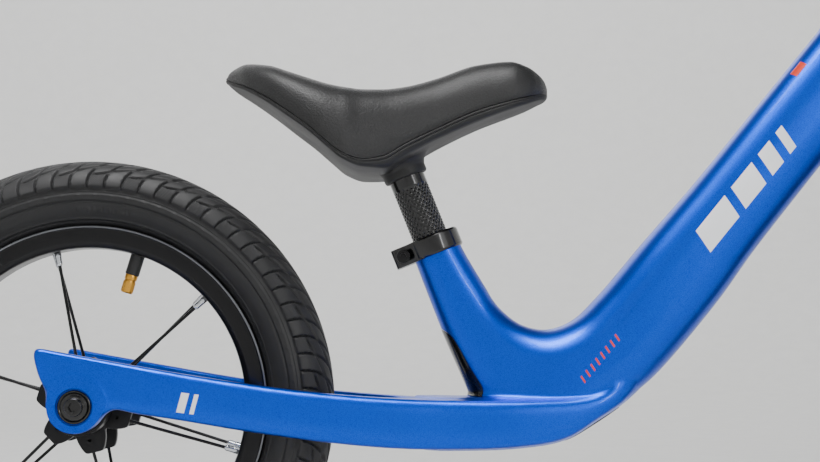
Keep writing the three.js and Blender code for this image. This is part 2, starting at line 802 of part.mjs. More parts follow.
// Half space ahead of or behind the plane that splits the bar clamp.
function clampHalf(ahead, margin) {
  const size = 60;
  const half = box(0, 0, 0, size, size, size);
  const matrix = new THREE.Matrix4().makeBasis(steerForward, SIDE, steerForward.clone().cross(SIDE));
  const offset = STEM_REACH + (ahead ? size / 2 + margin : -size / 2 - margin);
  return half.applyMatrix4(matrix.setPosition(onSteer(BAR_LEVEL, offset)));
}

function addStem() {
  const arm = sweep(
    [
      [...onSteer(BAR_LEVEL, 8).toArray(), 30, 27],
      [...onSteer(BAR_LEVEL, STEM_REACH - 4).toArray(), 36, 25],
    ],
    { sides: 16, steps: 4, squareness: 3.5 },
  );
  const lowEnd = onSteer(STEM_FOOT + FIT_GAP);
  const body = joined([
    bar(lowEnd, onSteer(STEM_FOOT + STEM_HEIGHT), STEERER_RADIUS + 4, 20),
    arm,
    barClamp(CLAMP_RADIUS, CLAMP_HALF_WIDTH),
  ]);
  const boreTop = onSteer(STEM_FOOT + STEM_HEIGHT + 5);
  const steererBore = bar(onSteer(STEM_FOOT - 5), boreTop, STEERER_RADIUS + 2 * FIT_GAP);
  const barBore = barClamp(BAR_RADIUS + FIT_GAP, CLAMP_HALF_WIDTH + 5);
  const cuts = [steererBore, barBore, clampHalf(true, -1)];
  addMesh('stem', geometryOf(withCuts(body, cuts)), BLACK_SATIN);
  const plateBody = solid(barClamp(CLAMP_RADIUS, CLAMP_HALF_WIDTH)).intersect(solid(clampHalf(true, 1)));
  addMesh('stem_faceplate', geometryOf(withCuts(plateBody, [barBore])), BLACK_SATIN);
  const capProfile = [
    [0, 0],
    [STEERER_RADIUS + 3, 0],
    [STEERER_RADIUS + 3, 2.5],
    [STEERER_RADIUS + 1.5, 4],
    [0, 4],
  ];
  const topCap = addSteerGroup(STEM_FOOT + STEM_HEIGHT + FIT_GAP);
  addMesh('top_cap', turned(capProfile, 24), BLACK_SATIN, topCap);
}

// A line through points with each inner corner rounded off.
function roundedLine(points, cut) {
  const path = new THREE.CurvePath();
  let start = points[0];
  for (let i = 1; i < points.length - 1; i++) {
    const before = points[i].clone().lerp(points[i - 1], cut / points[i].distanceTo(points[i - 1]));
    const after = points[i].clone().lerp(points[i + 1], cut / points[i].distanceTo(points[i + 1]));
    path.add(new THREE.LineCurve3(start, before));
    path.add(new THREE.QuadraticBezierCurve3(before, points[i], after));
    start = after;
  }
  path.add(new THREE.LineCurve3(start, points.at(-1)));
  return path;
}

const barCentre = onSteer(BAR_LEVEL, STEM_REACH);
const barPoint = (back, out, rise) => new THREE.Vector3(-back, out, rise).add(barCentre);
const barEnd = (side) => barPoint(BAR_SWEEP_BACK, side * BAR_HALF_WIDTH, BAR_RISE + 2);
const barShoulder = (side) => barPoint(0, side * BAR_SHOULDER, BAR_RISE);
const barDip = (side) => barPoint(0, side * BAR_DIP_HALF, 0);

function addHandlebar() {
  const half = (side) => [barEnd(side), barShoulder(side), barDip(side)];
  const line = roundedLine([...half(RIGHT), ...half(LEFT).reverse()], BAR_CORNER_CUT);
  const diameter = 2 * BAR_RADIUS;
  const sizes = [0, 1].map(() => [0, 0, 0, diameter, diameter]);
  const geometry = sweep(sizes, { sides: 12, steps: 24, squareness: 2, line: upright(line) });
  addMesh('handlebar', geometry, BLACK_SATIN);
}

// The handlebar runs along Y, so its sections are measured from Z instead.
function upright(line) {
  return {
    getPoint: (along) => line.getPointAt(along),
    getTangent: (along) => line.getTangentAt(along),
  };
}

function addGrip(name, side) {
  const along = barEnd(side).sub(barShoulder(side)).normalize();
  const holder = new THREE.Group();
  holder.position.copy(barShoulder(side));
  holder.quaternion.setFromUnitVectors(SIDE, along);
  group.add(holder);
  const start = GRIP_START - BAR_SHOULDER;
  const end = barEnd(side).distanceTo(barShoulder(side));
  const bore = BAR_RADIUS + FIT_GAP;
  const profile = [
    [bore, start],
    [20, start],
    [20, start + 4],
    [15, start + 7],
    [15, end - 3],
    [19, end + 1],
    [19, end + 3.5],
    [0, end + 3.5],
    [0, end + FIT_GAP],
    [bore, end + FIT_GAP],
    [bore, start],
  ];
  addMesh(name, turned(profile, 18), GRIP_RUBBER, holder);
}

addFrame();
addSeatClamp();
addSeatPost();
addSaddle();
addWheel('rear', REAR_AXLE);
addWheel('front', FRONT_AXLE);
addAxle('rear', REAR_AXLE);
addAxle('front', FRONT_AXLE);
addFork();
addHeadset();
addStem();
addHandlebar();
addGrip('grip_right', RIGHT);
addGrip('grip_left', LEFT);

export default group;
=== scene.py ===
"""Looks of a child's balance bike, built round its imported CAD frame.

Lengths in this script are millimetres; they become metres when a mesh is made.
+X is forwards, +Z is up, and the origin is on the ground half way between the axles.
"""

import math

import bmesh
import bpy
import numpy as np
from mathutils import Matrix, Vector


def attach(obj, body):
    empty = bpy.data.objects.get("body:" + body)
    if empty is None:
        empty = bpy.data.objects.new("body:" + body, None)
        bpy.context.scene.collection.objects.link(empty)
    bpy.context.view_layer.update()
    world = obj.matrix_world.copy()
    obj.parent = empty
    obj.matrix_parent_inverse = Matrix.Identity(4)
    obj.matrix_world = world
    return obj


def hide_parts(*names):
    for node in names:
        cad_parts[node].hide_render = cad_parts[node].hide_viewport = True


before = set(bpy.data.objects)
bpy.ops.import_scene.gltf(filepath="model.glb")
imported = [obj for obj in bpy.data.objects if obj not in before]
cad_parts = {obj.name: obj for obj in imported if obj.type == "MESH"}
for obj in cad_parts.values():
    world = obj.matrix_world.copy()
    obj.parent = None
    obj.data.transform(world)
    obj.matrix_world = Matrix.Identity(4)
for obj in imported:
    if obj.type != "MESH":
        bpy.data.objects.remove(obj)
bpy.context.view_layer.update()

MM = 0.001
RIGHT = -1
LEFT = 1

# Axes and sizes shared with the CAD model
WHEEL_RADIUS = 148.5
REAR_AXLE = np.array([-300.0, 0.0, WHEEL_RADIUS])
FRONT_AXLE = np.array([300.0, 0.0, WHEEL_RADIUS])
SIDE = np.array([0.0, 1.0, 0.0])

SEAT_LEAN = math.radians(21.8)
COLLAR_FOOT = np.array([-88.8, 0.0, 240.0])
SEAT_UP = np.array([-math.sin(SEAT_LEAN), 0.0, math.cos(SEAT_LEAN)])
SEAT_BACK = np.array([-math.cos(SEAT_LEAN), 0.0, -math.sin(SEAT_LEAN)])
COLLAR_HEIGHT = 12.0
SEAT_TUBE_RADIUS = 14.0
SEAT_TUBE_TOP = 11.0
POST_RADIUS = 11.1
POST_TOP = 62.0
POST_BOTTOM = -63.0

HEAD_ANGLE = math.radians(68)
STEER_UP = np.array([-math.cos(HEAD_ANGLE), 0.0, math.sin(HEAD_ANGLE)])
STEER_FORWARD = np.array([math.sin(HEAD_ANGLE), 0.0, math.cos(HEAD_ANGLE)])
STEER_FOOT = FRONT_AXLE - 12.2 * STEER_FORWARD
HEAD_BOTTOM = 224.0
HEAD_TOP = 302.0
HEAD_RADIUS = 22.0
STEERER_RADIUS = 14.3
BEARING_HEIGHT = 8.0
COVER_HEIGHT = 10.0
STEM_FOOT = HEAD_TOP + COVER_HEIGHT
STEM_HEIGHT = 33.0
STEM_REACH = 40.0
BAR_LEVEL = STEM_FOOT + STEM_HEIGHT / 2
BAR_RADIUS = 11.1
BAR_HALF_WIDTH = 203.0
BAR_SHOULDER = 88.0
BAR_RISE = 50.0
BAR_SWEEP_BACK = 15.0
GRIP_START = 112.0

EYE_RADIUS = 15.2
EYE_INNER = 47.0
EYE_OUTER = 55.0
RECESS_RADIUS = 10.4
RECESS_DEPTH = 2.3

RIM_INNER = 95.0
RIM_EDGE = 108.3
SPOKE_PAIRS = [-13.5, 46.5, 106.5, 166.5, 226.5, 286.5]
SPOKE_OFFSET = 1.2  # how far each spoke of a pair passes beside the radial line
VALVE_ANGLE = 17.0
BEARING_OFFSET = 37.6
FLANGE_OFFSET = 20.0
LOBE_RADIUS = 28.0


def on_seat(along, back=0.0, side=0.0):
    return COLLAR_FOOT + along * SEAT_UP + back * SEAT_BACK + side * SIDE


def on_steer(along, forward=0.0, side=0.0):
    return STEER_FOOT + along * STEER_UP + forward * STEER_FORWARD + side * SIDE


# --- Numbers -------------------------------------------------------------------------------


def curve(*keys):
    """A smooth function through (t, value) keys that never overshoots, level beyond its ends."""
    t = np.array([k[0] for k in keys], float)
    v = np.array([k[1] for k in keys], float)
    step = np.diff(t)
    rise = np.diff(v) / step
    slope = np.zeros(len(t))
    same = rise[:-1] * rise[1:] > 0
    mean = 2 * rise[:-1] * rise[1:] / np.where(same, rise[:-1] + rise[1:], 1)
    slope[1:-1] = np.where(same, mean, 0)

    def value(x):
        x = np.clip(x, t[0], t[-1])
        i = np.clip(np.searchsorted(t, x, side="right") - 1, 0, len(step) - 1)
        h = step[i]
        u = (x - t[i]) / h
        start = v[i] * (2 * u**3 - 3 * u**2 + 1) + h * slope[i] * (u**3 - 2 * u**2 + u)
        end = v[i + 1] * (3 * u**2 - 2 * u**3) + h * slope[i + 1] * (u**3 - u**2)
        return start + end

    return value


def ease(low, high, x):
    """From 0 at low to 1 at high, level at both ends."""
    u = np.clip((x - low) / (high - low), 0, 1)
    return u * u * (3 - 2 * u)


def spline(points, per_span=8, closed=False):
    """Points of a centripetal Catmull-Rom curve through the given points."""
    p = np.array(points, float)
    if closed:
        p = np.vstack([p[-1:], p, p[:2]])
    else:
        p = np.vstack([2 * p[:1] - p[1:2], p, 2 * p[-1:] - p[-2:-1]])
    out = []
    for a, b, c, d in zip(p[:-3], p[1:-2], p[2:-1], p[3:]):
        ab, bc, cd = (max(np.linalg.norm(v - u), 1e-6) ** 0.5 for u, v in ((a, b), (b, c), (c, d)))
        before = b - a if ab < 1e-3 else (b - a) / ab - (c - a) / (ab + bc) + (c - b) / bc
        after = (c - b) / bc - (d - b) / (bc + cd) + (d - c) / cd
        for u in np.arange(per_span) / per_span:
            start = b * (2 * u**3 - 3 * u**2 + 1) + bc * before * (u**3 - 2 * u**2 + u)
            end = c * (3 * u**2 - 2 * u**3) + bc * after * (u**3 - u**2)
            out.append(start + end)
    if not closed:
        out.append(p[-2])
    return np.array(out)


def filleted(points, radius, closed=False, steps=4):
    """A polyline with its corners rounded off; radius is one number or one for each corner."""
    p = np.array(points, float)
    n = len(p)
    radii = np.full(n, radius, float) if np.isscalar(radius) else np.array(radius, float)
    out = []
    for i in range(n):
        if not closed and i in (0, n - 1):
            out.append(p[i])
            continue
        before, after = p[i - 1] - p[i], p[(i + 1) % n] - p[i]
        a, b = np.linalg.norm(before), np.linalg.norm(after)
        setback = min(radii[i], 0.45 * a, 0.45 * b)
        if setback < 1e-3:
            out.append(p[i])
            continue
        start, end = p[i] + before / a * setback, p[i] + after / b * setback
        for u in np.linspace(0, 1, steps + 1):
            out.append((1 - u) ** 2 * start + 2 * u * (1 - u) * p[i] + u**2 * end)
    return np.array(out)


# --- Meshes --------------------------------------------------------------------------------


def axes(origin, up, ahead=None):
    """A matrix whose Z is up and whose X is nearest to ahead, placed at origin, in millimetres."""
    z = Vector(up).normalized()
    x = Vector(ahead if ahead is not None else (1, 0, 0) if abs(z.x) < 0.9 else (0, 0, 1))
    x = (x - z * x.dot(z)).normalized()
    y = z.cross(x)
    matrix = Matrix.Identity(4)
    for row in range(3):
        matrix[row][0], matrix[row][1], matrix[row][2] = x[row], y[row], z[row]
        matrix[row][3] = origin[row]
    return matrix


def placed(points, matrix):
    """Points taken from the matrix's own axes to the bike's."""
    m = np.array(matrix)
    return np.asarray(points, float) @ m[:3, :3].T + m[:3, 3]


def make(name, points, faces, angle=35.0, origin=None):
    """A smooth-shaded object with hard edges where faces meet at more than the angle."""
    shift = np.zeros(3) if origin is None else np.array(origin)
    mesh = bpy.data.meshes.new(name)
    mesh.from_pydata(((np.asarray(points) - shift) * MM).tolist(), [], [tuple(f) for f in faces])
    mesh.validate()
    finish_shading(mesh, angle)
    obj = bpy.data.objects.new(name, mesh)
    obj.location = shift * MM
    bpy.context.scene.collection.objects.link(obj)
    return obj


def unit(start, end):
    """The direction from start to end."""
    return (end - start) / np.linalg.norm(end - start)


def capped(faces, rows, columns):
    """Adds a flat face over the first and the last ring of a grid of rings."""
    faces = faces.tolist()
    faces.append(list(range(columns))[::-1])
    faces.append([(rows - 1) * columns + k for k in range(columns)])
    return faces


def finish_shading(mesh, angle=35.0):
    mesh.shade_smooth()
    mesh.set_sharp_from_angle(angle=math.radians(angle))
    mesh.update()


def applied(obj, angle=35.0):
    """Turns the object's modifiers into its mesh."""
    bpy.context.view_layer.update()
    graph = bpy.context.evaluated_depsgraph_get()
    mesh = bpy.data.meshes.new_from_object(obj.evaluated_get(graph), depsgraph=graph)
    old = obj.data
    obj.modifiers.clear()
    obj.data = mesh
    bpy.data.meshes.remove(old)
    finish_shading(mesh, angle)
    return obj


def combined(obj, others, operation, angle=35.0):
    """Joins the others to obj, or cuts them out of it, and throws the others away."""
    for other in others:
        modifier = obj.modifiers.new("cut", "BOOLEAN")
        modifier.operation = operation
        modifier.solver = "MANIFOLD"
        modifier.object = other
    applied(obj, angle)
    for other in others:
        mesh = other.data
        bpy.data.objects.remove(other)
        bpy.data.meshes.remove(mesh)
    return obj


def cut(obj, *cutters, angle=35.0):
    return combined(obj, cutters, "DIFFERENCE", angle)


def welded(obj, *others, angle=35.0):
    return combined(obj, others, "UNION", angle)


def bevelled(obj, width, segments=3, limit=30.0, angle=35.0):
    modifier = obj.modifiers.new("bevel", "BEVEL")
    modifier.width = width * MM
    modifier.segments = segments
    modifier.limit_method = "ANGLE"
    modifier.angle_limit = math.radians(limit)
    modifier.harden_normals = False
    return applied(obj, angle)


def grid_faces(rows, columns, wrap_rows=False, wrap_columns=True):
    """Quads over a grid of points numbered row by row."""
    i = np.arange(rows if wrap_rows else rows - 1)
    j = np.arange(columns if wrap_columns else columns - 1)
    i, j = np.meshgrid(i, j, indexing="ij")
    down, across = (i + 1) % rows, (j + 1) % columns
    corners = [i * columns + j, i * columns + across, down * columns + across, down * columns + j]
    return np.stack([c.ravel() for c in corners], 1)


def turned_mesh(profile, matrix, segments, closed):
    """Points and faces of a solid of revolution; profile points are (radius, height) on local Z."""
    p = np.array(profile, float)
    a = np.arange(segments) / segments * 2 * math.pi
    rows = len(p)
    ring = np.stack([np.cos(a), np.sin(a)], 1)
    points = np.zeros((rows, segments, 3))
    points[:, :, :2] = np.maximum(p[:, 0], 1e-4)[:, None, None] * ring[None]
    points[:, :, 2] = p[:, 1][:, None]
    faces = grid_faces(rows, segments, wrap_rows=closed)
    if not closed:
        faces = capped(faces, rows, segments)
    return placed(points.reshape(-1, 3), matrix), faces


def turned(name, profile, origin, up, segments=96, closed=False, fillet=0.0, angle=35.0, at=None):
    """A solid of revolution about up, its profile listed so that it runs up the outside."""
    if fillet:
        profile = filleted(profile, fillet, closed)
    points, faces = turned_mesh(profile, axes(origin, up), segments, closed)
    return make(name, points, faces, angle, at)


def swept(name, path, radius, segments=32, angle=35.0, at=None):
    """A round bar along a line of points; radius is one number or one for each point."""
    path = np.array(path, float)
    tangent = np.gradient(path, axis=0)
    tangent /= np.linalg.norm(tangent, axis=1)[:, None]
    radii = np.full(len(path), radius, float) if np.isscalar(radius) else np.array(radius, float)
    normal = np.cross(tangent[0], [0.3, 0.1, 0.95])
    a = np.arange(segments) / segments * 2 * math.pi
    points = []
    for p, t, r in zip(path, tangent, radii):
        normal = normal - t * normal.dot(t)
        normal /= np.linalg.norm(normal)
        across = np.cross(t, normal)
        points.append(p + r * (np.cos(a)[:, None] * normal + np.sin(a)[:, None] * across))
    count = len(path)
    faces = capped(grid_faces(count, segments), count, segments)
    return make(name, np.vstack(points), faces, angle, at)


def prism(name, outline, low, high, matrix=None, angle=35.0, at=None):
    """An outline drawn in X and Y, counter-clockwise, given a thickness along Z."""
    outline = np.array(outline, float)
    n = len(outline)
    levels = [np.column_stack([outline, np.full(n, z)]) for z in (low, high)]
    points = placed(np.vstack(levels), matrix or Matrix.Identity(4))
    faces = [list(range(n))[::-1], [n + k for k in range(n)]]
    faces += [[k, (k + 1) % n, n + (k + 1) % n, n + k] for k in range(n)]
    return make(name, points, faces, angle, at)


def side_matrix(origin=(0, 0, 0)):
    """Local X is world X, local Y is world Z, so an outline is drawn as seen from the right side."""
    matrix = Matrix(((1, 0, 0, 0), (0, 0, -1, 0), (0, 1, 0, 0), (0, 0, 0, 1)))
    return Matrix.Translation(Vector(origin)) @ matrix


def rod(name, start, end, radius, segments=64, fillet=0.0):
    start, end = np.array(start, float), np.array(end, float)
    length = np.linalg.norm(end - start)
    profile = [(0, 0), (radius, 0), (radius, length), (0, length)]
    return turned(name, profile, start, end - start, segments, fillet=fillet)


def hexagon(name, centre, up, across_flats, low, high):
    radius = across_flats / 2 / math.cos(math.pi / 6)
    corners = [(radius * math.cos(a), radius * math.sin(a)) for a in np.arange(6) * math.pi / 3]
    return prism(name, corners, low, high, axes(centre, up))


# --- Moulded shapes: a field that is negative inside, and the skin where it is zero ---------


def depth_map(outline, step=1.0, margin=45.0):
    """A function of (u, v): how deep a point lies inside a flat outline, negative outside it."""
    outline = np.array(outline, float)
    low, high = outline.min(0) - margin, outline.max(0) + margin
    u, v = (np.arange(a, b + step, step) for a, b in zip(low, high))
    gu, gv = np.meshgrid(u, v, indexing="ij")
    nearest = np.full(gu.shape, 1e9)
    inside = np.zeros(gu.shape, bool)
    for a, b in zip(outline, np.roll(outline, -1, 0)):
        d = b - a
        along = np.clip(((gu - a[0]) * d[0] + (gv - a[1]) * d[1]) / max(d.dot(d), 1e-9), 0, 1)
        nearest = np.minimum(nearest, (gu - a[0] - along * d[0]) ** 2 + (gv - a[1] - along * d[1]) ** 2)
        if a[1] != b[1]:
            crosses = (a[1] > gv) != (b[1] > gv)
            inside ^= crosses & (gu < a[0] + (gv - a[1]) * d[0] / d[1])
    depth = np.sqrt(nearest) * np.where(inside, 1, -1)

    def weights(f):
        square, cube = f * f, f * f * f
        return (
            (-cube + 2 * square - f) / 2,
            (3 * cube - 5 * square + 2) / 2,
            (-3 * cube + 4 * square + f) / 2,
            (cube - square) / 2,
        )

    def sample(x, y):
        x, y = np.broadcast_arrays(x, y)
        a = np.clip((x - low[0]) / step, 1, len(u) - 2.001)
        b = np.clip((y - low[1]) / step, 1, len(v) - 2.001)
        i, j = a.astype(int), b.astype(int)
        wa, wb = weights(a - i), weights(b - j)
        total = 0
        for m in range(4):
            row = np.minimum(i + m - 1, len(u) - 1)
            for n in range(4):
                column = np.minimum(j + n - 1, len(v) - 1)
                total = total + wa[m] * wb[n] * depth[row, column]
        return total

    return sample


def inflated(depth, rounding, side, half_width, power):
    """A flat outline given thickness: full width inside, rounded over its last stretch of depth."""
    over = np.maximum(1 - depth / rounding, 0)
    across = np.abs(side) / half_width
    return rounding * ((over**power + across**power) ** (1 / power) - 1)


def merged(a, b, blend):
    """Both shapes, with a soft fillet between them."""
    near = np.maximum(blend - np.abs(a - b), 0) / blend
    return np.minimum(a, b) - near * near * blend / 4


def skin(field, low, high, step):
    """Points and faces of the surface where the field is zero."""
    lines = [np.arange(a, b + step, step) for a, b in zip(low, high)]
    values = field(lines[0][:, None, None], lines[1][None, :, None], lines[2][None, None, :])
    inside = values < 0
    cells = np.array(values.shape) - 1
    total = np.zeros((cells.prod(), 3))
    count = np.zeros(cells.prod())
    edges = []
    for axis in range(3):
        first = tuple(slice(0, -1) if k == axis else slice(None) for k in range(3))
        second = tuple(slice(1, None) if k == axis else slice(None) for k in range(3))
        where = np.argwhere(inside[first] != inside[second])
        a, b = values[first][tuple(where.T)], values[second][tuple(where.T)]
        point = where.astype(float)
        point[:, axis] += a / (a - b)
        u, v = (axis + 1) % 3, (axis + 2) % 3
        ring = []
        for du, dv in ((-1, -1), (0, -1), (0, 0), (-1, 0)):
            cell = where.copy()
            cell[:, u] += du
            cell[:, v] += dv
            flat = np.ravel_multi_index(tuple(cell.T), tuple(cells))
            for k in range(3):
                total[:, k] += np.bincount(flat, point[:, k], len(total))
            count += np.bincount(flat, minlength=len(count))
            ring.append(flat)
        ring = np.stack(ring, 1)
        outwards = inside[first][tuple(where.T)]
        edges.append(np.where(outwards[:, None], ring, ring[:, ::-1]))
    used = count > 0
    number = np.cumsum(used) - 1
    points = np.array(low) + step * total[used] / count[used][:, None]
    faces = number[np.vstack(edges)]
    return settled(field, points), faces


def settled(field, points, rounds=3, reach=0.05):
    """Moves points straight on to the surface where the field is zero."""
    for _ in range(rounds):
        value = field(*points.T)
        slope = np.stack([(field(*(points + step).T) - value) / reach for step in np.eye(3) * reach], 1)
        move = value[:, None] * slope / np.maximum((slope**2).sum(1), 1e-6)[:, None]
        length = np.linalg.norm(move, axis=1)[:, None]
        points = points - move * np.minimum(1, 1.5 / np.maximum(length, 1e-9))
    return points


# --- Frame ---------------------------------------------------------------------------------

# Outlines as seen from the right side, in X and Z.
TUBES_OUTLINE = [
    (-90, 285), (-77.7, 254.3), (-74, 245), (-60, 221), (-52, 208.5), (-38.5, 197.5), (-23, 194),
    (-7.5, 199), (8, 213.2), (37, 247), (69, 283.5), (107, 329.6), (146, 377), (230, 478), (282, 463),
    (190, 349.6), (146, 294), (104, 241), (83, 212), (48, 170.6), (36, 159.4), (23, 150.2), (6, 138.6),
    (-13, 128.2), (-41, 125), (-56, 127.5), (-64, 137), (-68.4, 152.6), (-85.3, 191.9), (-101.8, 234.2),
    (-106, 245.5), (-122, 285),
]
STAY_OUTLINE = [
    (-323.3, 172.8), (-324.3, 179.2), (-323.2, 181.9), (-320, 182.3), (-312, 180.9), (-284.7, 176),
    (-228.6, 166.3), (-170.4, 157.9), (-111.4, 153.1), (-63.9, 151.8), (-28.3, 152.0), (-9, 152.8),
    (5, 155.2), (13, 159), (16.5, 162), (24, 164), (30, 160), (25, 152.8), (6, 140), (-13, 129),
    (-41, 124.2), (-81.7, 122.9), (-111.4, 123.6), (-146.8, 126.6), (-202.2, 134.3), (-238, 140.4),
    (-264, 144.6), (-277.1, 147), (-284, 145.5), (-290, 141.6), (-299, 139), (-310, 143), (-314.3, 155.4),
    (-320, 163.5),
]
# Inner and outer faces of a stay, then the solid yoke where the two stays meet.
stay_outer = curve(
    (-325, 53.6), (-300, 53.8), (-262, 54.0), (-229, 52.0), (-202, 50.0), (-147, 45.6), (-111, 42.0),
    (-85, 39.0), (-45, 36.0), (-18, 32.4), (5, 28.4), (16, 25.2), (28, 20.0), (42, 12.0),
)
stay_inner = curve(
    (-325, 46.8), (-300, 46.6), (-262, 45.4), (-229, 41.0), (-202, 38.0), (-147, 32.6), (-128, 28.5),
    (-116, 21.0), (-109, 11.0), (-104, 0.0), (-98, -14.0), (-86, -26.0), (-45, -26.0), (10, -18.0),
    (42, -10.0),
)
stay_rounding = curve(
    (-325, 4.2), (-285, 5.5), (-262, 8.0), (-228, 12.0), (-60, 12.5), (-10, 10.0), (30, 6.0),
)
seat_half_width = curve((-20, 14.0), (30, 14.6), (60, 16.4), (92, 19.0), (118, 22.5))
seat_rounding = curve((-20, 13.9), (0, 13.9), (30, 15.2), (60, 18.0), (92, 22.0), (118, 24.5))
tube_half_width = curve((-30, 25.0), (30, 25.0), (90, 23.2), (166, 21.6), (200, 21.0))

tubes_depth = depth_map(spline(TUBES_OUTLINE, 6, closed=True))
stay_depth = depth_map(spline(STAY_OUTLINE, 6, closed=True))


def tubes_field(x, y, z):
    """The seat tube and the main tube, one V in side view, each with its own width."""
    below_collar = -((x - COLLAR_FOOT[0]) * SEAT_UP[0] + (z - COLLAR_FOOT[2]) * SEAT_UP[2])
    ahead = ease(-72, -12, x)
    width = seat_half_width(below_collar) * (1 - ahead) + tube_half_width(x) * ahead
    rounding = seat_rounding(below_collar) * (1 - ahead) + 24.5 * ahead
    return inflated(tubes_depth(x, z), rounding, y, width, 2.2)


def stays_field(x, y, z):
    """The two stays, the yoke where they meet, and the bosses round the rear axle's eyes."""
    outer, inner = stay_outer(x), stay_inner(x)
    depth, edge = stay_depth(x, z), stay_rounding(x)
    middle, half = (outer + inner) / 2, (outer - inner) / 2
    flat = np.maximum(half - 6.8, 0)
    right, left = (
        inflated(depth, edge, np.maximum(np.abs(side * y - middle) - flat, 0), half - flat, 2.7)
        for side in (RIGHT, LEFT)
    )
    stays = merged(right, left, 6.0)
    from_axle = np.hypot(x - REAR_AXLE[0], z - REAR_AXLE[2])
    boss = np.maximum(from_axle - EYE_RADIUS + 0.5, np.abs(np.abs(y) - (EYE_INNER + EYE_OUTER) / 2) - 5)
    return merged(stays, boss, 11.0)


def frame_field(x, y, z):
    """The hydroformed frame: two tubes in a V, the yoke and stays low down, and the head tube."""
    along = (x - STEER_FOOT[0]) * STEER_UP[0] + (z - STEER_FOOT[2]) * STEER_UP[2]
    forward = (x - STEER_FOOT[0]) * STEER_FORWARD[0] + (z - STEER_FOOT[2]) * STEER_FORWARD[2]
    middle = (HEAD_BOTTOM + HEAD_TOP) / 2
    head = np.maximum(np.hypot(forward, y) - HEAD_RADIUS, np.abs(along - middle) - 44)
    tubes = np.maximum(tubes_field(x, y, z), forward)
    return merged(merged(tubes, stays_field(x, y, z), 4.0), head, 9.0)


# The line behind which the seat tube's black insert shows, as seen from the right side.
INSERT_LINE = [
    (-90, 197), (-87.2, 194.6), (-83.7, 192.4), (-79.8, 188.9), (-74.3, 179.9), (-69.9, 171.8),
    (-65.1, 164.1), (-62.4, 159.6), (-61.8, 156.6), (-62.6, 153.6),
]


def insert_outline(margin):
    """The region behind the seat tube that the insert takes up, seen from the right side."""
    line = spline(INSERT_LINE, 6)
    tangent = np.gradient(line, axis=0)
    tangent /= np.linalg.norm(tangent, axis=1)[:, None]
    line = line + margin * np.column_stack([-tangent[:, 1], tangent[:, 0]])
    return np.vstack([line, [[-80, 155.6 - margin], [-94, 156.2 - margin], [-122, 176], [-112, 214]]])


def insert_field(x, y, z):
    """The frame's surface raised a little, kept to a block round the back of the seat tube."""
    block = np.maximum(np.maximum(np.abs(x + 86) - 30, np.abs(y) - 26), np.abs(z - 178) - 40)
    return np.maximum(frame_field(x, y, z) - 0.35, block)


def make_insert():
    shell = make("seat_tube_insert", *skin(insert_field, (-118, -28, 136), (-54, 28, 220), 1.1))
    keep = prism("keep", insert_outline(0)[::-1], -30, 30, side_matrix())
    combined(shell, [keep], "INTERSECT")
    core = rod("core", on_seat(-130), on_seat(0), POST_RADIUS + 1.2)
    return bevelled(cut(shell, core), 0.35, 2, 50)


GUARD_REAR = -17
GUARD_FRONT = 22
GUARD_TOP = 153  # the outline passes the same x again higher up, at the top of the bend
GUARD_HALF_WIDTH = 9


def guard_outline(margin, below, depth=3.0):
    """A strip that follows the underside of the bend, seen from the right side."""
    line = spline(TUBES_OUTLINE, 6, closed=True)
    under = (line[:, 0] > GUARD_REAR) & (line[:, 0] < GUARD_FRONT) & (line[:, 1] < GUARD_TOP)
    edge = line[under][::-1]
    tangent = np.gradient(edge, axis=0)
    tangent /= np.linalg.norm(tangent, axis=1)[:, None]
    inwards = np.column_stack([-tangent[:, 1], tangent[:, 0]])
    edge[0] -= tangent[0] * margin
    edge[-1] += tangent[-1] * margin
    return np.vstack([edge - inwards * below, (edge + inwards * (depth + margin))[::-1]])


def guard_block(name, margin, below):
    """The guard, or with a margin the pocket that it sits in."""
    half_width = GUARD_HALF_WIDTH + margin
    return prism(name, guard_outline(margin, below), -half_width, half_width, side_matrix())


CUP_RADIUS = STEERER_RADIUS + 5.4


def make_frame():
    shell = make("frame_shell", *skin(frame_field, (-330, -60, 114), (236, 60, 446), 1.7))
    collar = on_seat(SEAT_TUBE_TOP)
    cutters = [
        rod("top", collar, on_seat(90), 30),
        rod("bore", on_seat(-100), on_seat(40), POST_RADIUS + 0.3),
        rod("above", on_steer(HEAD_TOP), on_steer(HEAD_TOP + 60), 60),
        rod("below", on_steer(HEAD_BOTTOM - 60), on_steer(HEAD_BOTTOM), 60),
    ]
    cut(shell, *cutters)
    slot = [(-7, -1), (7, -1), (7, 1), (-7, 1)]
    insert = prism("insert", insert_outline(0.35)[::-1], -30, 30, side_matrix())
    cut(insert, rod("core", on_seat(-130), on_seat(0), POST_RADIUS + 0.9))
    pockets = [
        rod("steerer", on_steer(HEAD_BOTTOM - 5), on_steer(HEAD_TOP + 5), STEERER_RADIUS + 1.5),
        rod("low_cup", on_steer(HEAD_BOTTOM - 5), on_steer(HEAD_BOTTOM + BEARING_HEIGHT), CUP_RADIUS),
        rod("high_cup", on_steer(HEAD_TOP - BEARING_HEIGHT), on_steer(HEAD_TOP + 5), CUP_RADIUS),
        prism("slot", slot, -13, 13, axes(on_seat(4, 13), SEAT_UP, SEAT_BACK)),
        insert,
        guard_block("guard", 0.3, 6),
    ]
    cut(shell, *pockets)
    return cut(shell, *eye_cutters(REAR_AXLE))


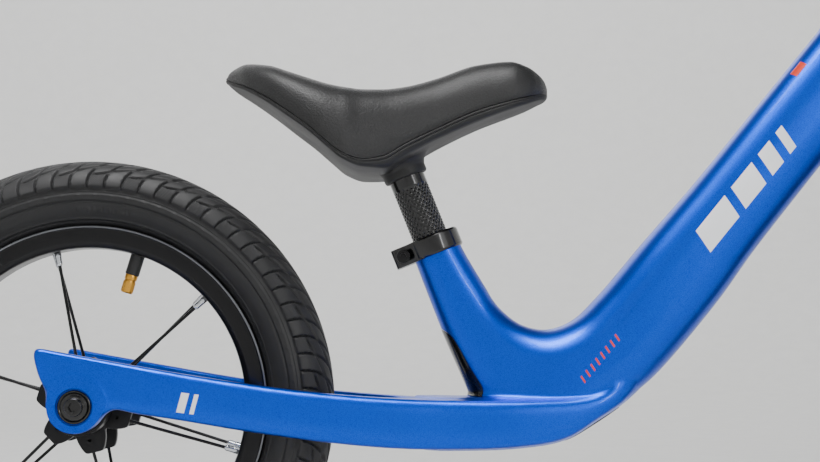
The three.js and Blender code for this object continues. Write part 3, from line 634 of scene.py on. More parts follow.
def eye_cutters(axle):
    """What is cut from each side of an axle's eyes: both faces, the dished recess and the bore."""
    dish = [
        (0, 0), (RECESS_RADIUS, 0), (RECESS_RADIUS, RECESS_DEPTH - 0.5),
        (RECESS_RADIUS + 1.5, RECESS_DEPTH + 1), (0, RECESS_DEPTH + 1),
    ]
    out = []
    for side in (RIGHT, LEFT):
        face = axle + SIDE * side * EYE_OUTER
        out.append(rod("face", face, axle + SIDE * side * 80, 26))
        out.append(rod("inner", axle + SIDE * side * 38, axle + SIDE * side * EYE_INNER, 17.5))
        recess = axle + SIDE * side * (EYE_OUTER - RECESS_DEPTH)
        out.append(turned("recess", dish, recess, SIDE * side, 96))
    out.append(rod("through", axle - SIDE * 70, axle + SIDE * 70, 3.3))
    return out


def make_guard():
    guard = guard_block("belly_guard_strip", 0, 1.6)
    return bevelled(guard, 0.8, 3, 40)


# --- Bolts, collar and seat post -----------------------------------------------------------


def axle_bolt(name, axle, side):
    """A socket-headed bolt with its dished washer, sunk in the eye's recess."""
    face = axle + SIDE * side * (EYE_OUTER - RECESS_DEPTH + 0.1)
    out = SIDE * side
    profile = [
        (0, -22), (3, -22), (3, 0), (9.9, 0), (9.9, 1.1), (9.0, 1.5), (7.6, 0.75), (6.2, 1.35),
        (5.3, 1.5), (5.25, 5.0), (4.7, 5.5), (3.6, 5.5), (0, 5.5),
    ]
    bolt = turned(name, profile, face, out, 64, fillet=0.35, at=face)
    return cut(bolt, hexagon("socket", face, out, 5.0, 2.6, 6.5))


def cap_bolt(name, centre, direction, head_radius, head_height, shank, length, across_flats):
    """A cap screw: the underside of its head is at the centre and its shank runs against direction."""
    profile = [
        (0, -length), (shank, -length), (shank, 0), (head_radius, 0), (head_radius, head_height),
        (across_flats * 0.62, head_height), (0, head_height),
    ]
    bolt = turned(name, profile, centre, direction, 48, fillet=0.4, at=centre)
    return cut(bolt, hexagon("socket", centre, direction, across_flats, head_height * 0.35, head_height + 1))


def make_collar():
    """The seat clamp: a split ring with two ears behind, drawn together by a cap screw."""
    inner = SEAT_TUBE_RADIUS + 0.45
    outer = SEAT_TUBE_RADIUS + 3.2
    top = COLLAR_HEIGHT
    profile = [
        (inner, 0), (outer - 0.9, 0), (outer, 1.2), (outer, top - 1.2), (outer - 0.9, top), (inner, top),
    ]
    ring = turned("seat_collar", profile, COLLAR_FOOT, SEAT_UP, 128, closed=True, fillet=0.3)
    half = [(6, 15.4), (12, 12.4), (16.5, 8.8), (24.4, 8), (26, 6.6)]
    ear = [(x, -y) for x, y in half] + half[::-1]
    matrix = axes(COLLAR_FOOT, SEAT_UP, SEAT_BACK)
    ears = prism("ears", filleted(ear, 1.4, closed=True), 0.1, top - 0.1, matrix)
    bevelled(ears, 0.7, 3, 40)
    welded(ring, ears)
    slot = [(12, -1.2), (30, -1.2), (30, 1.2), (12, 1.2)]
    middle = on_seat(top / 2, 20)
    seat = [
        prism("slot", slot, -3, top + 3, matrix),
        rod("bore", on_seat(-4), on_seat(top + 4), inner, 128),
        rod("hole", middle - SIDE * 20, middle + SIDE * 20, 2.7),
    ]
    return cut(ring, *seat)


def make_post():
    """The knurled post: two families of fine helical grooves, with a plain band at the top."""
    pitch = 3.8
    teeth = 24
    columns = teeth * 8
    step = 0.4
    rows = int((POST_TOP - POST_BOTTOM) / step)
    height = np.linspace(POST_BOTTOM, POST_TOP, rows)[:, None]
    angle = (np.arange(columns) / columns)[None, :]
    plain = ease(43.6, 44.2, height)
    right = np.abs(((angle * teeth + height / pitch) % 1) - 0.5) * 2
    left = np.abs(((angle * teeth - height / pitch) % 1) - 0.5) * 2
    groove = (1 - np.minimum(right, left)) * (1 - plain)
    radius = POST_RADIUS - 0.6 * groove
    radius = radius - 1.2 * ease(POST_BOTTOM + 2, POST_BOTTOM, height)
    ring = angle * 2 * math.pi
    points = np.stack([radius * np.cos(ring), radius * np.sin(ring), height + 0 * ring], 2)
    faces = capped(grid_faces(rows, columns), rows, columns)
    points = placed(points.reshape(-1, 3), axes(COLLAR_FOOT, SEAT_UP))
    return make("seat_post_knurled", points, faces, 60)


# --- Saddle --------------------------------------------------------------------------------

# Stations from tail to nose: x, half width, top, seam and underside heights.
SADDLE = np.array([
    (-218.6, 4, 348.5, 347, 345.5), (-216.5, 9.5, 351.2, 345.6, 344), (-213, 16.5, 353.6, 343.5, 341.5),
    (-205, 29, 356.2, 339.5, 337.3), (-191.4, 42, 354.4, 331.5, 328.8), (-178.6, 50, 350, 322.5, 319.5),
    (-165.7, 55, 345.6, 313, 310), (-155.8, 57, 342.6, 304.5, 301.5), (-146, 56.5, 340.8, 297, 293.5),
    (-134, 52, 339.6, 293.4, 289), (-122, 47, 339.9, 295.5, 288.5), (-108, 41, 342, 303.8, 296.5),
    (-89.5, 34, 347.4, 313.5, 307), (-63.7, 28, 356.2, 325.5, 319), (-44, 26, 358.3, 331.5, 326.5),
    (-33.5, 21.5, 355.2, 334.4, 330.3), (-26, 14.5, 350, 336.6, 333.4), (-23, 9.5, 346.6, 337.2, 334.4),
    (-21.4, 4.5, 343.2, 337.8, 335.6), (-21, 2, 342, 338.2, 336.6),
])
saddle_half, saddle_top, saddle_seam, saddle_under = (
    curve(*zip(SADDLE[:, 0], SADDLE[:, k])) for k in range(1, 5)
)


def saddle_stations(count):
    """Stations along the saddle, closer together at its two ends."""
    u = np.linspace(0, 1, count)
    eased = 0.5 - 0.5 * np.cos(math.pi * u)
    return SADDLE[0, 0] + (SADDLE[-1, 0] - SADDLE[0, 0]) * (0.35 * u + 0.65 * eased)


def loft(name, rows, angle=35.0):
    """A closed body through equal rings of points, with a flat end at each side."""
    rows = np.array(rows)
    count, sides = rows.shape[:2]
    faces = capped(grid_faces(count, sides), count, sides)
    return make(name, rows.reshape(-1, 3), faces, angle)


def make_pad():
    """The padded top: a soft crown that rolls over its edge and tucks in above the base's lip."""
    rows = []
    for x in saddle_stations(190):
        half, top, seam = saddle_half(x), saddle_top(x), saddle_seam(x) + 0.35
        rise = top - seam
        wing = ease(26, 52, half)
        a = np.linspace(0, math.pi, 73)
        side = np.cos(a)
        crown = np.sin(a)
        # The sides stand nearly upright, the edge rolls over, and the top is a low dome.
        reach = np.sign(side) * np.abs(side) ** (0.72 - 0.14 * wing) * half
        height = seam + rise * crown ** (0.86 - 0.22 * wing)
        tuck = 0.9 * np.exp(-((height - seam) / 1.1) ** 2)
        reach = reach * (1 - tuck / max(half, 6))
        upper = np.stack([np.full(73, x), reach, height], 1)
        under_side = np.linspace(-1, 1, 38)[1:-1] * upper[0, 1]
        lower = np.stack([np.full(36, x), under_side, np.full(36, seam)], 1)
        rows.append(np.vstack([upper, lower])[::-1])
    return loft("saddle_cover", rows, 50)


def make_base():
    """The moulded shell under the pad: a lip, a shadow groove and a band that tucks under."""
    rows = []
    for x in saddle_stations(150):
        half, seam, under = saddle_half(x), saddle_seam(x) - 0.1, saddle_under(x)
        tall = max(seam - under, 0.8)
        scale = tall / 7.0
        band = [
            (-2.2, 0.0), (-0.5, 0.0), (0.0, 0.05), (0.1, 0.12), (0.0, 0.22), (-0.55, 0.26), (-0.6, 0.32),
            (-0.15, 0.37), (-0.1, 0.45), (-0.5, 0.66), (-1.7, 0.86), (-4.0, 0.97), (-8.0, 1.0),
        ]
        edge = filleted([(half + dy * min(scale, 1), seam - tall * dz) for dy, dz in band], 0.5, steps=2)
        edge[:, 0] = np.maximum(edge[:, 0], 0.15 * half)
        right = np.column_stack([np.full(len(edge), x), -edge[:, 0], edge[:, 1]])
        left = right[::-1] * (1, -1, 1)
        rows.append(np.vstack([right, left]))
    base = loft("saddle_shell", rows, 40)
    post = rod("bore", on_seat(20), on_seat(POST_TOP + 0.4), POST_RADIUS + 0.4)
    profile = [
        (0, 50.5), (12.9, 50.5), (13.6, 51.6), (13.6, 55.5), (14.6, 58), (17, 60.5), (20, 62.5), (20, 66),
        (0, 66),
    ]
    neck = turned("neck", profile, COLLAR_FOOT, SEAT_UP, 96, fillet=0.6)
    trim = prism("trim", pad_floor(), -30, 30, side_matrix())
    cut(neck, trim)
    welded(base, neck)
    return cut(base, post)


def pad_floor():
    """The region above the saddle's seam, seen from the right side."""
    x = np.linspace(-160, -60, 60)
    line = np.column_stack([x, saddle_seam(x) - 1.2])
    return np.vstack([line, [(-60, 380), (-160, 380)]])


# --- Wheels --------------------------------------------------------------------------------

TYRE_PITCHES = 80
TYRE_COLUMNS = 16
TYRE_OUTSIDE = [
    (107.2, 10.2), (108.9, 10.9), (110.6, 13.6), (112.2, 15.6), (114.5, 17.9), (118, 20.5), (122.4, 22.6),
    (126, 23.4), (129, 23.5), (132, 23.2), (136, 21.5), (140, 18.4), (143.3, 14.4), (145.6, 9.6),
    (146.9, 4.8), (147.2, 0),
]
# Raised and sunk lines round the sidewall: (radius, width, rise).
SIDEWALL_LINES = [
    (112.4, 0.75, 0.5), (111.2, 0.8, -0.3), (122.4, 0.9, -0.5), (127.6, 0.6, -0.4), (129.2, 0.6, -0.4),
    (130.5, 1.0, -0.9),
]


def radial(degrees, r, y=0.0, tangent=0.0):
    """A point of a wheel, its angle measured clockwise from the top as seen from the right."""
    a = math.radians(degrees)
    return np.array([r * math.sin(a) + tangent * math.cos(a), y, r * math.cos(a) - tangent * math.sin(a)])


def groove(distance, width):
    """A smooth-walled slot: 1 at its middle and 0 beyond its half width."""
    return 1 - ease(0.25 * width, 0.75 * width, np.abs(distance))


def slot_depth(angle, centre, spacing, r, lean, width):
    """1 in the middle of evenly spaced slots round the tyre, measured square to their line."""
    off = np.abs(((angle - centre) / spacing + 0.5) % 1 - 0.5) * spacing * r
    return groove(off / np.sqrt(1 + lean * lean), width)


def tread_height(r, angle, inward):
    """How far the rubber stands above the casing. inward runs from 0 at the shoulder to 1 at the crown."""
    pitch = 2 * math.pi / TYRE_PITCHES
    across = 26.0
    # Every block is parted from the next by a slot that runs up and then leans forwards.
    bend = pitch * (0.15 * inward + 1.9 * inward**2.2)
    lean = r * pitch * (0.15 + 4.2 * inward**1.2) / across
    short = slot_depth(angle, bend, pitch, r, lean, 1.15) * (1 - ease(0.78, 0.84, inward))
    # A longer, flatter slot starts half way up every other block and sweeps on to the crown.
    part = np.maximum((inward - 0.24) / 0.76, 0)
    sweep = 25 / 360 * 2 * math.pi
    bend = sweep * part**0.92 + 0.3 * pitch
    lean = r * sweep / (0.76 * across) + 0 * inward
    long = slot_depth(angle, bend, 2 * pitch, r, lean, 1.3) * ease(0.24, 0.27, inward)
    return 1.3 * (1 - np.maximum(short, long))


def tyre_mesh():
    fine = spline(TYRE_OUTSIDE, 24)
    length = np.concatenate([[0], np.cumsum(np.linalg.norm(np.diff(fine, axis=0), axis=1))])
    s = np.linspace(0, length[-1], int(length[-1] / 0.55))
    r = np.interp(s, length, fine[:, 0])
    y = np.interp(s, length, fine[:, 1])
    shoulder = np.interp(131.2, fine[:, 0], length)
    inward = (s - shoulder) / (length[-1] - shoulder)
    tangent = np.gradient(np.column_stack([r, y]), axis=0)
    tangent /= np.linalg.norm(tangent, axis=1)[:, None]
    normal = np.column_stack([-tangent[:, 1], tangent[:, 0]])
    columns = TYRE_PITCHES * TYRE_COLUMNS
    angles = np.arange(columns) / columns * 2 * math.pi
    R, Y, U = (v[:, None] for v in (r, y, inward))
    on_tread = ease(-0.035, 0.0, U)
    height = tread_height(R, angles[None], np.maximum(U, 0)) * on_tread
    height = height - 0.15 * (1 - on_tread)
    for radius, width, rise in SIDEWALL_LINES:
        height = height + rise * np.exp(-(((R - radius) / width) ** 2) * 2)
    band = ease(122.6, 123.4, R) * (1 - ease(126.8, 127.4, R))
    height = height + band * (0.35 + 0.18 * np.cos(2 * math.pi * (R - 123) / 1.1))
    within_pitch = (angles / (2 * math.pi) * TYRE_PITCHES) % 1 - 0.5
    pips = np.exp(-((R - 126.0) ** 2)) * np.exp(-((within_pitch * 8) ** 2))
    height = height + 0.35 * pips
    height = height + moulded_marks(R, angles)
    rows = []
    for side in (1, -1):
        rr = R + height * normal[:, :1]
        yy = side * (Y + height * normal[:, 1:])
        rows.append(np.stack([rr * np.sin(angles), yy, rr * np.cos(angles)], 2))
    outer = np.concatenate([rows[0], rows[1][:-1][::-1]])
    half = [(107.4, 8.2), (116, 14), (128, 19.2), (138, 14)]
    inside = np.array([(r, -y) for r, y in half] + [(142.5, 0)] + half[::-1])
    r, y = inside[:, :1], inside[:, 1:]
    inner = np.stack([r * np.sin(angles), y + 0 * angles, r * np.cos(angles)], 2)
    points = np.concatenate([outer, inner])
    faces = grid_faces(len(points), columns, wrap_rows=True)
    return points.reshape(-1, 3), faces[:, ::-1]


def moulded_marks(r, angles):
    """Rows of small plain raised bars on the sidewall, where a tyre's size would be moulded."""
    total = 0
    for middle in (5.0, 125.0, 245.0):
        offset = (np.degrees(angles) - middle + 180) % 360 - 180
        row = (np.abs(offset) < 8).astype(float)
        bars = ease(0.30, 0.40, np.abs((offset / 1.6) % 1 - 0.5) * 2 * 0.5)
        total = total + 0.28 * row * bars * np.exp(-(((r - 117.6) / 1.5) ** 4))
    return total


RIM_SECTION = [
    (RIM_INNER, 8.6), (RIM_INNER + 0.8, 10.4), (98.5, 11.8), (103, 12.2), (106.6, 12.2), (107.4, 12.9),
    (RIM_EDGE, 12.9), (108.6, 12.2), (108.4, 11.2), (107.2, 10.7), (102.6, 10.4), (100.3, 7),
]


def copies(obj, name, axle):
    """The same mesh again at another wheel's axle."""
    twin = bpy.data.objects.new(name, obj.data)
    twin.location = axle * MM
    bpy.context.scene.collection.objects.link(twin)
    return twin


def make_rim():
    """A hollow-backed rim with a drilled, dimpled seat for each nipple and one valve hole."""
    section = [(r, -y) for r, y in RIM_SECTION[::-1]] + [(r, y) for r, y in RIM_SECTION]
    rim = turned("rear_rim_shell", section, (0, 0, 0), SIDE, 256, closed=True, fillet=0.7)
    holes = []
    for degrees in SPOKE_PAIRS:
        for side in (RIGHT, LEFT):
            start, end = spoke_line(degrees, side)
            out = unit(start, end)
            holes.append(rod("hole", end - out * 6, end + out * 3.2, 2.35, 24))
    holes.append(rod("valve", radial(VALVE_ANGLE, 85), radial(VALVE_ANGLE, 118), 4.7, 32))
    return cut(rim, *holes)


def spoke_line(degrees, side):
    start = radial(degrees, LOBE_RADIUS - 3.2, side * FLANGE_OFFSET, -side * SPOKE_OFFSET)
    end = radial(degrees, RIM_INNER + 1.2, side * 3, -side * SPOKE_OFFSET)
    return start, end


def spoke_mesh(name, degrees, side):
    """A straight-pull spoke: its round head in the hub's lobe, its shaft, and its nipple."""
    start, end = spoke_line(degrees, side)
    length = np.linalg.norm(end - start)
    profile = [
        (0, 0), (1.9, 0), (1.9, 1.1), (1.05, 2.0), (1.0, 3), (1.0, length - 10.5), (1.25, length - 10.2),
        (1.9, length - 9.2), (2.0, length - 4.6), (2.15, length - 4.4), (2.15, length), (0, length),
    ]
    return turned(name, profile, start, end - start, 20, fillet=0.2)


def star_outline():
    """The flange: one rounded lobe for each pair of spokes, with a scooped valley between."""
    points = []
    half = [(20.5, 8.6), (25.5, 6.9), (LOBE_RADIUS + 0.6, 5.0)]
    lobe = half + [(r, -t) for r, t in half[::-1]]
    for degrees in SPOKE_PAIRS[::-1]:
        for r, t in lobe:
            p = radial(degrees, r, 0, t)
            points.append((p[0], p[2]))
        p = radial(degrees - 30, 18.2)
        points.append((p[0], p[2]))
    return filleted(points, 3.2, closed=True)


def make_hub():
    half = [(10.2, 33), (13.9, 33), (13.9, 42), (16.6, 42), (17.5, 41), (17.5, 28), (16.8, 26.6), (15, 24.5)]
    shell_line = [(r, -y) for r, y in half] + [(r, y) for r, y in half[::-1]]
    shell = turned("rear_hub_body", shell_line, (0, 0, 0), SIDE, 96, closed=True, fillet=0.5)
    outline = star_outline()
    for side in (RIGHT, LEFT):
        middle = side * FLANGE_OFFSET
        flange = prism("flange", outline, -3, 3, side_matrix((0, middle, 0)))
        bevelled(flange, 0.9, 3, 40)
        cut(flange, rod("bore", (0, -40, 0), (0, 40, 0), 12))
        welded(shell, flange)
    seats = []
    for degrees in SPOKE_PAIRS:
        for side in (RIGHT, LEFT):
            start, end = spoke_line(degrees, side)
            out = unit(start, end)
            seats.append(rod("seat", start - out * 0.4, start + out * 9, 1.35, 16))
            seats.append(rod("head", start - out * 5, start + out * 1.4, 2.3, 20))
    return cut(shell, *seats)


def make_tube(name):
    """The inner tube, with the rubber-covered valve stem and its brass end."""
    a = np.arange(24) / 24 * 2 * math.pi
    section = [(126 + 12.5 * math.cos(t), 14 * math.sin(t)) for t in a]
    tube = turned(name, section, (0, 0, 0), SIDE, 96, closed=True)
    stem = [
        (0, 0), (4.05, 0), (4.3, 0.6), (4.3, 20), (4.6, 26), (5.4, 36), (0, 36),
    ]
    out = radial(VALVE_ANGLE, 1)
    return welded(tube, turned("stem", stem, out * 82.5, out, 48, fillet=0.4))


def make_valve_cap(name):
    """The knurled brass cap on the valve."""
    out = radial(VALVE_ANGLE, 1)
    a = np.arange(96) / 96 * 2 * math.pi
    rows = []
    stations = (
        (0, 1.8, 0), (0, 3.0, 0), (0.4, 3.5, 0), (1.0, 3.75, 0), (1.6, 3.85, 0.14), (4.0, 3.85, 0.14),
        (6.6, 3.85, 0.14), (7.2, 3.75, 0), (7.6, 3.5, 0), (8.2, 3.45, 0), (8.6, 3.8, 0), (11.2, 3.9, 0),
        (11.6, 3.7, 0), (12.0, 3.6, 0),
    )
    for height, radius, knurl in stations:
        r = radius - knurl * (0.5 + 0.5 * np.cos(24 * a))
        rows.append(np.stack([r * np.cos(a), r * np.sin(a), np.full(96, height)], 1))
    points = placed(np.vstack(rows), axes(out * 71, out))
    return make(name, points, capped(grid_faces(len(rows), 96), len(rows), 96), 30)


def make_bearing():
    """A sealed cartridge bearing: two steel races with a dished seal between."""
    half = [(6.3, -3.9), (8.0, -3.9), (8.2, -3.4), (11.8, -3.4), (12.0, -3.9), (13.7, -3.9)]
    section = half + [(r, -y) for r, y in half[::-1]]
    return turned("rear_bearing", section[::-1], (0, 0, 0), SIDE, 64, closed=True, fillet=0.2)


# --- Fork and steering ---------------------------------------------------------------------

# Outline of the fork from the front: (out, along the steering axis), right half of an arch.
FORK_OUTER = [
    (0, 252), (22, 252), (21.8, 228), (22.5, 218), (30, 212), (40, 203), (46.5, 190), (49.2, 172),
    (50, 140), (52, 90), (54, 45), (55, 20), (55, -8),
]
FORK_INNER = [
    (46.4, -8), (46.2, 20), (43.5, 45), (39.5, 90), (35.5, 140), (31, 165), (23, 181), (11, 189),
    (0, 190.5),
]
fork_ahead = curve((-6, 13.5), (12, 11.0), (45, 6.5), (90, 2.5), (140, 0.5), (178, 0.0), (260, 0.0))
fork_half_depth = curve(
    (-10, 7.5), (12, 9.5), (45, 11.2), (90, 12.8), (140, 14.6), (178, 17.0), (206, 20.0), (260, 21.0),
)
fork_rounding = curve(
    (-8, 4.0), (20, 4.4), (45, 5.2), (90, 6.2), (140, 7.2), (178, 9.0), (200, 11.0), (260, 12.0),
)
fork_right = FORK_OUTER + FORK_INNER
fork_outline = np.array(fork_right + [(-u, v) for u, v in fork_right[-2:0:-1]], float)
fork_depth = depth_map(spline(fork_outline, 6, closed=True))


def fork_field(x, y, z):
    """The fork in its own axes: x ahead of the steering axis, y sideways and z along it."""
    depth = fork_depth(y, z)
    blades = inflated(depth, fork_rounding(z), x - fork_ahead(z), fork_half_depth(z), 2.4)
    crown = np.maximum(np.hypot(x, y) - (HEAD_RADIUS - 0.6), np.abs(z - 215) - 22)
    from_axle = np.hypot(x - 12.2, z)
    boss = np.maximum(from_axle - EYE_RADIUS, np.abs(np.abs(y) - (EYE_INNER + EYE_OUTER) / 2) - 6)
    return merged(merged(blades, crown, 8.0), boss, 7.0)


def make_fork():
    matrix = axes(STEER_FOOT, STEER_UP, STEER_FORWARD)
    points, faces = skin(fork_field, (-30, -62, -24), (36, 62, 262), 1.8)
    fork = make("fork_shell", placed(points, matrix), faces)
    cut(fork, rod("top", on_steer(HEAD_BOTTOM - 0.4), on_steer(HEAD_BOTTOM + 80), 60))
    cut(fork, *eye_cutters(FRONT_AXLE))
    steerer_top = STEM_FOOT + STEM_HEIGHT - 3
    return welded(fork, rod("steerer", on_steer(205), on_steer(steerer_top), STEERER_RADIUS - 0.1, 96))


def make_headset():
    inner = STEERER_RADIUS + 0.3
    rings = []
    section = [(inner, 0.3), (19.2, 0.3), (19.2, 7.6), (inner, 7.6)]
    feet = {"lower_headset_ring": HEAD_BOTTOM, "upper_headset_ring": HEAD_TOP - BEARING_HEIGHT}
    for name, foot in feet.items():
        rings.append(turned(name, section, on_steer(foot), STEER_UP, 96, closed=True, fillet=0.4))
    section = [
        (inner, 0.4), (21.6, 0.4), (21.9, 1.0), (21.9, 2.2), (21.2, 2.6), (21.2, 3.2), (18.4, 8.2),
        (17.6, 9.6), (inner, 9.6),
    ]
    cover = turned("headset_top_cover", section, on_steer(HEAD_TOP), STEER_UP, 128, closed=True, fillet=0.4)
    return rings[0], rings[1], cover


def steer_axes(along, forward=0.0):
    return axes(on_steer(along, forward), STEER_UP, STEER_FORWARD)


def bar_clamp(name, radius, half_width, fillet=1.0):
    start = on_steer(BAR_LEVEL, STEM_REACH, -half_width)
    return rod(name, start, start + SIDE * 2 * half_width, radius, 128, fillet)


def clamp_block(name, ahead, margin):
    low, high = (STEM_REACH + margin, STEM_REACH + 60) if ahead else (STEM_REACH - 60, STEM_REACH + margin)
    outline = [(low, -60), (high, -60), (high, 60), (low, 60)]
    return prism(name, outline, -40, 40, steer_axes(BAR_LEVEL))


def stem_field(x, y, z):
    """The stem about the bar's level: a steerer clamp behind and a waisted arm running forwards."""
    clamp = np.maximum(np.hypot(x, y) - 18.6, np.abs(z) - 30)
    waist = 11.5 + 4.2 * ease(12, 36, x)
    arm = 9.0 * ((np.abs(y / waist) ** 4 + np.abs(z / (12.6 - 0.04 * x)) ** 4) ** 0.25 - 1)
    arm = np.maximum(arm, np.maximum(-x, x - 36))
    across = np.maximum(np.hypot(x - STEM_REACH, z) - 15.8, np.abs(y) - 19.2)
    return merged(merged(clamp, arm, 5.0), across, 4.0)


def make_stem():
    points, faces = skin(stem_field, (-24, -24, -34), (62, 24, 34), 1.1)
    stem = make("stem_body", placed(points, steer_axes(BAR_LEVEL)), faces)
    cut(
        stem,
        rod("top", on_steer(STEM_FOOT + STEM_HEIGHT), on_steer(STEM_FOOT + 80), 60, 96),
        rod("foot", on_steer(STEM_FOOT - 40), on_steer(STEM_FOOT + 0.4), 60, 96),
        rod("steerer", on_steer(STEM_FOOT - 5), on_steer(STEM_FOOT + 50), STEERER_RADIUS + 0.4, 96),
        clamp_block("front", True, -1.0),
        bar_clamp("bar", BAR_RADIUS + 0.3, 40),
    )
    pinch = prism("pinch", [(-30, -0.8), (-8, -0.8), (-8, 0.8), (-30, 0.8)], -40, 40, steer_axes(BAR_LEVEL))
    holes = []
    for level in (BAR_LEVEL - 9, BAR_LEVEL + 9):
        holes.append(rod("hole", on_steer(level, -17.5, -30), on_steer(level, -17.5, -5), 3.4))
    return bevelled(cut(stem, pinch, *holes), 0.5, 2, 50)


def make_faceplate():
    plate = bar_clamp("stem_front_plate", 16.1, 20, 1.2)
    cut(plate, clamp_block("back", False, 1.0), bar_clamp("bar", BAR_RADIUS + 0.3, 40))
    opening = filleted([(44, -9), (70, -9), (70, 9), (44, 9)], 3)
    window = prism("window", opening, -6, 6, steer_axes(BAR_LEVEL))
    return bevelled(cut(plate, window), 0.6, 2, 50)


def make_stem_bolts():
    """Four bolts through the faceplate and two pinch bolts behind, as one piece for each place."""
    bolts = []
    for i, (v, side) in enumerate(((-11.6, -14), (11.6, -14), (-11.6, 14), (11.6, 14))):
        centre = on_steer(BAR_LEVEL + v, STEM_REACH + 10.8, side)
        bolts.append(cap_bolt(f"faceplate_bolt_{i + 1}", centre, STEER_FORWARD, 3.4, 2.8, 2.0, 8, 3.0))
    for i, v in enumerate((-9, 9)):
        centre = on_steer(BAR_LEVEL + v, -17.5, -10.5)
        bolts.append(cap_bolt(f"pinch_bolt_{i + 1}", centre, -SIDE, 3.2, 3.0, 2.0, 8, 3.0))
    return bolts


def make_top_cap():
    profile = [
        (0, 0.4), (17.2, 0.4), (17.3, 1.6), (16.4, 3.4), (15, 4.0), (6.4, 4.0), (5.6, 2.6), (0, 2.6),
    ]
    return turned("stem_top_cap", profile, on_steer(STEM_FOOT + STEM_HEIGHT), STEER_UP, 128, fillet=0.4)


BAR_CENTRE = on_steer(BAR_LEVEL, STEM_REACH)


def bar_shoulder(side):
    return BAR_CENTRE + (0, side * BAR_SHOULDER, BAR_RISE)


def bar_end(side):
    return BAR_CENTRE + (-BAR_SWEEP_BACK, side * BAR_HALF_WIDTH, BAR_RISE + 2)


def make_bar():
    half = [bar_end(RIGHT), bar_shoulder(RIGHT), BAR_CENTRE - SIDE * 40]
    corners = half + [p * (1, -1, 1) for p in half[::-1]]
    line = filleted(corners, 16, steps=14)
    dense = [line[0]]
    for a, b in zip(line[:-1], line[1:]):
        count = max(int(np.linalg.norm(b - a) / 4), 1)
        dense += [a + (b - a) * (k + 1) / count for k in range(count)]
    return swept("handlebar_tube", dense, BAR_RADIUS, 64)


def make_grip(name, side):
    """A ribbed rubber grip with a guard flange inboard and a soft knob on the bar's end."""
    start, end = bar_shoulder(side), bar_end(side)
    out = unit(start, end)
    length = np.linalg.norm(end - start)
    foot = GRIP_START - BAR_SHOULDER
    bore = BAR_RADIUS + 0.3
    profile = [
        (bore, foot), (19.2, foot), (20, foot + 1.2), (20, foot + 2.8), (18.8, foot + 4.2),
        (15.4, foot + 6.4),
    ]
    height = foot + 8
    while height < length - 8:
        profile += [(15.0, height), (15.0, height + 2.3), (14.1, height + 2.7), (14.1, height + 3.5)]
        height += 3.9
    profile += [
        (15.0, length - 4), (16.6, length - 1.8), (18.6, length - 0.2), (19.0, length + 1.4),
        (18.2, length + 3.0), (16, length + 3.5), (0, length + 3.5),
    ]
    points, faces = turned_mesh(filleted(profile, 0.5, steps=2), axes(start, out), 96, False)
    grip = make(name, points, faces, 35, start)
    return cut(grip, rod("bore", start + out * (foot - 5), start + out * (length + 0.3), bore, 96))


# --- Plain marks on the paint --------------------------------------------------------------


STAY_MIDDLE = 42.0  # a distance from the middle that lies inside each stay behind the yoke
FILM_STEP = 1.1


def surface_at(x, z, side):
    """How far from the middle the frame's side lies at each x and z, found by halving."""
    low, high = np.where(x < -110, STAY_MIDDLE, 0.0), np.full(len(x), 58.0)
    for _ in range(26):
        middle = (low + high) / 2
        inside = frame_field(x, side * middle, z) < 0
        low, high = np.where(inside, middle, low), np.where(inside, high, middle)
    return low


def quad_grid(corners):
    """A fine grid of points over a quad, with its number of rows and columns."""
    a, b, c, d = (np.array(p, float) for p in corners)
    nu = max(int(np.linalg.norm(b - a) / FILM_STEP), 2) + 1
    nv = max(int(np.linalg.norm(d - a) / FILM_STEP), 2) + 1
    u, v = np.meshgrid(np.linspace(0, 1, nu), np.linspace(0, 1, nv), indexing="ij")
    u, v = u[..., None], v[..., None]
    flat = (1 - u) * (1 - v) * a + u * (1 - v) * b + u * v * c + (1 - u) * v * d
    return flat.reshape(-1, 2), nu, nv


def film(name, quads, side):
    """A thin film that hugs the frame's side: each quad is four corners in X and Z."""
    points, faces = [], []
    for corners in quads:
        flat, nu, nv = quad_grid(corners)
        x, z = flat[:, 0], flat[:, 1]
        low = surface_at(x, z, side)
        base = sum(len(p) for p in points)
        points += [np.stack([x, side * (low + 0.1), z], 1), np.stack([x, side * (low - 0.5), z], 1)]
        n = nu * nv
        top = grid_faces(nu, nv, wrap_columns=False)
        rim = list(range(nv)) + [k * nv + nv - 1 for k in range(1, nu)]
        rim += [(nu - 1) * nv + k for k in range(nv - 2, -1, -1)] + [k * nv for k in range(nu - 2, 0, -1)]
        wall = [[p, q, q + n, p + n] for p, q in zip(rim, rim[1:] + rim[:1])]
        faces += (top + base).tolist() + (top[:, ::-1] + base + n).tolist()
        faces += [[k + base for k in w][::-1] for w in wall]
    obj = make(name, np.vstack(points), faces, 40)
    return outwards(obj)


def outwards(obj):
    """Makes every face of a closed mesh point out."""
    mesh = bmesh.new()
    mesh.from_mesh(obj.data)
    bmesh.ops.recalc_face_normals(mesh, faces=mesh.faces)
    mesh.to_mesh(obj.data)
    mesh.free()
    finish_shading(obj.data, 40)
    return obj


TUBE_LINE = np.array([0.636, 0.772])
TUBE_UP = np.array([-0.772, 0.636])


def slanted(centre, start, end, low, high, slant):
    """A leaning block along the main tube: start to end along it, low to high across it."""
    c = np.array(centre, float)
    corners = [(start, low), (end, low), (end, high), (start, high)]
    return [c + (u + slant * v) * TUBE_LINE + v * TUBE_UP for u, v in corners]


STAY_BARS = [
    [(-241, 145.6), (-236.5, 145), (-233.5, 156.4), (-238, 157)],
    [(-233.5, 144.6), (-231, 144.3), (-228, 155.7), (-230.5, 156)],
]


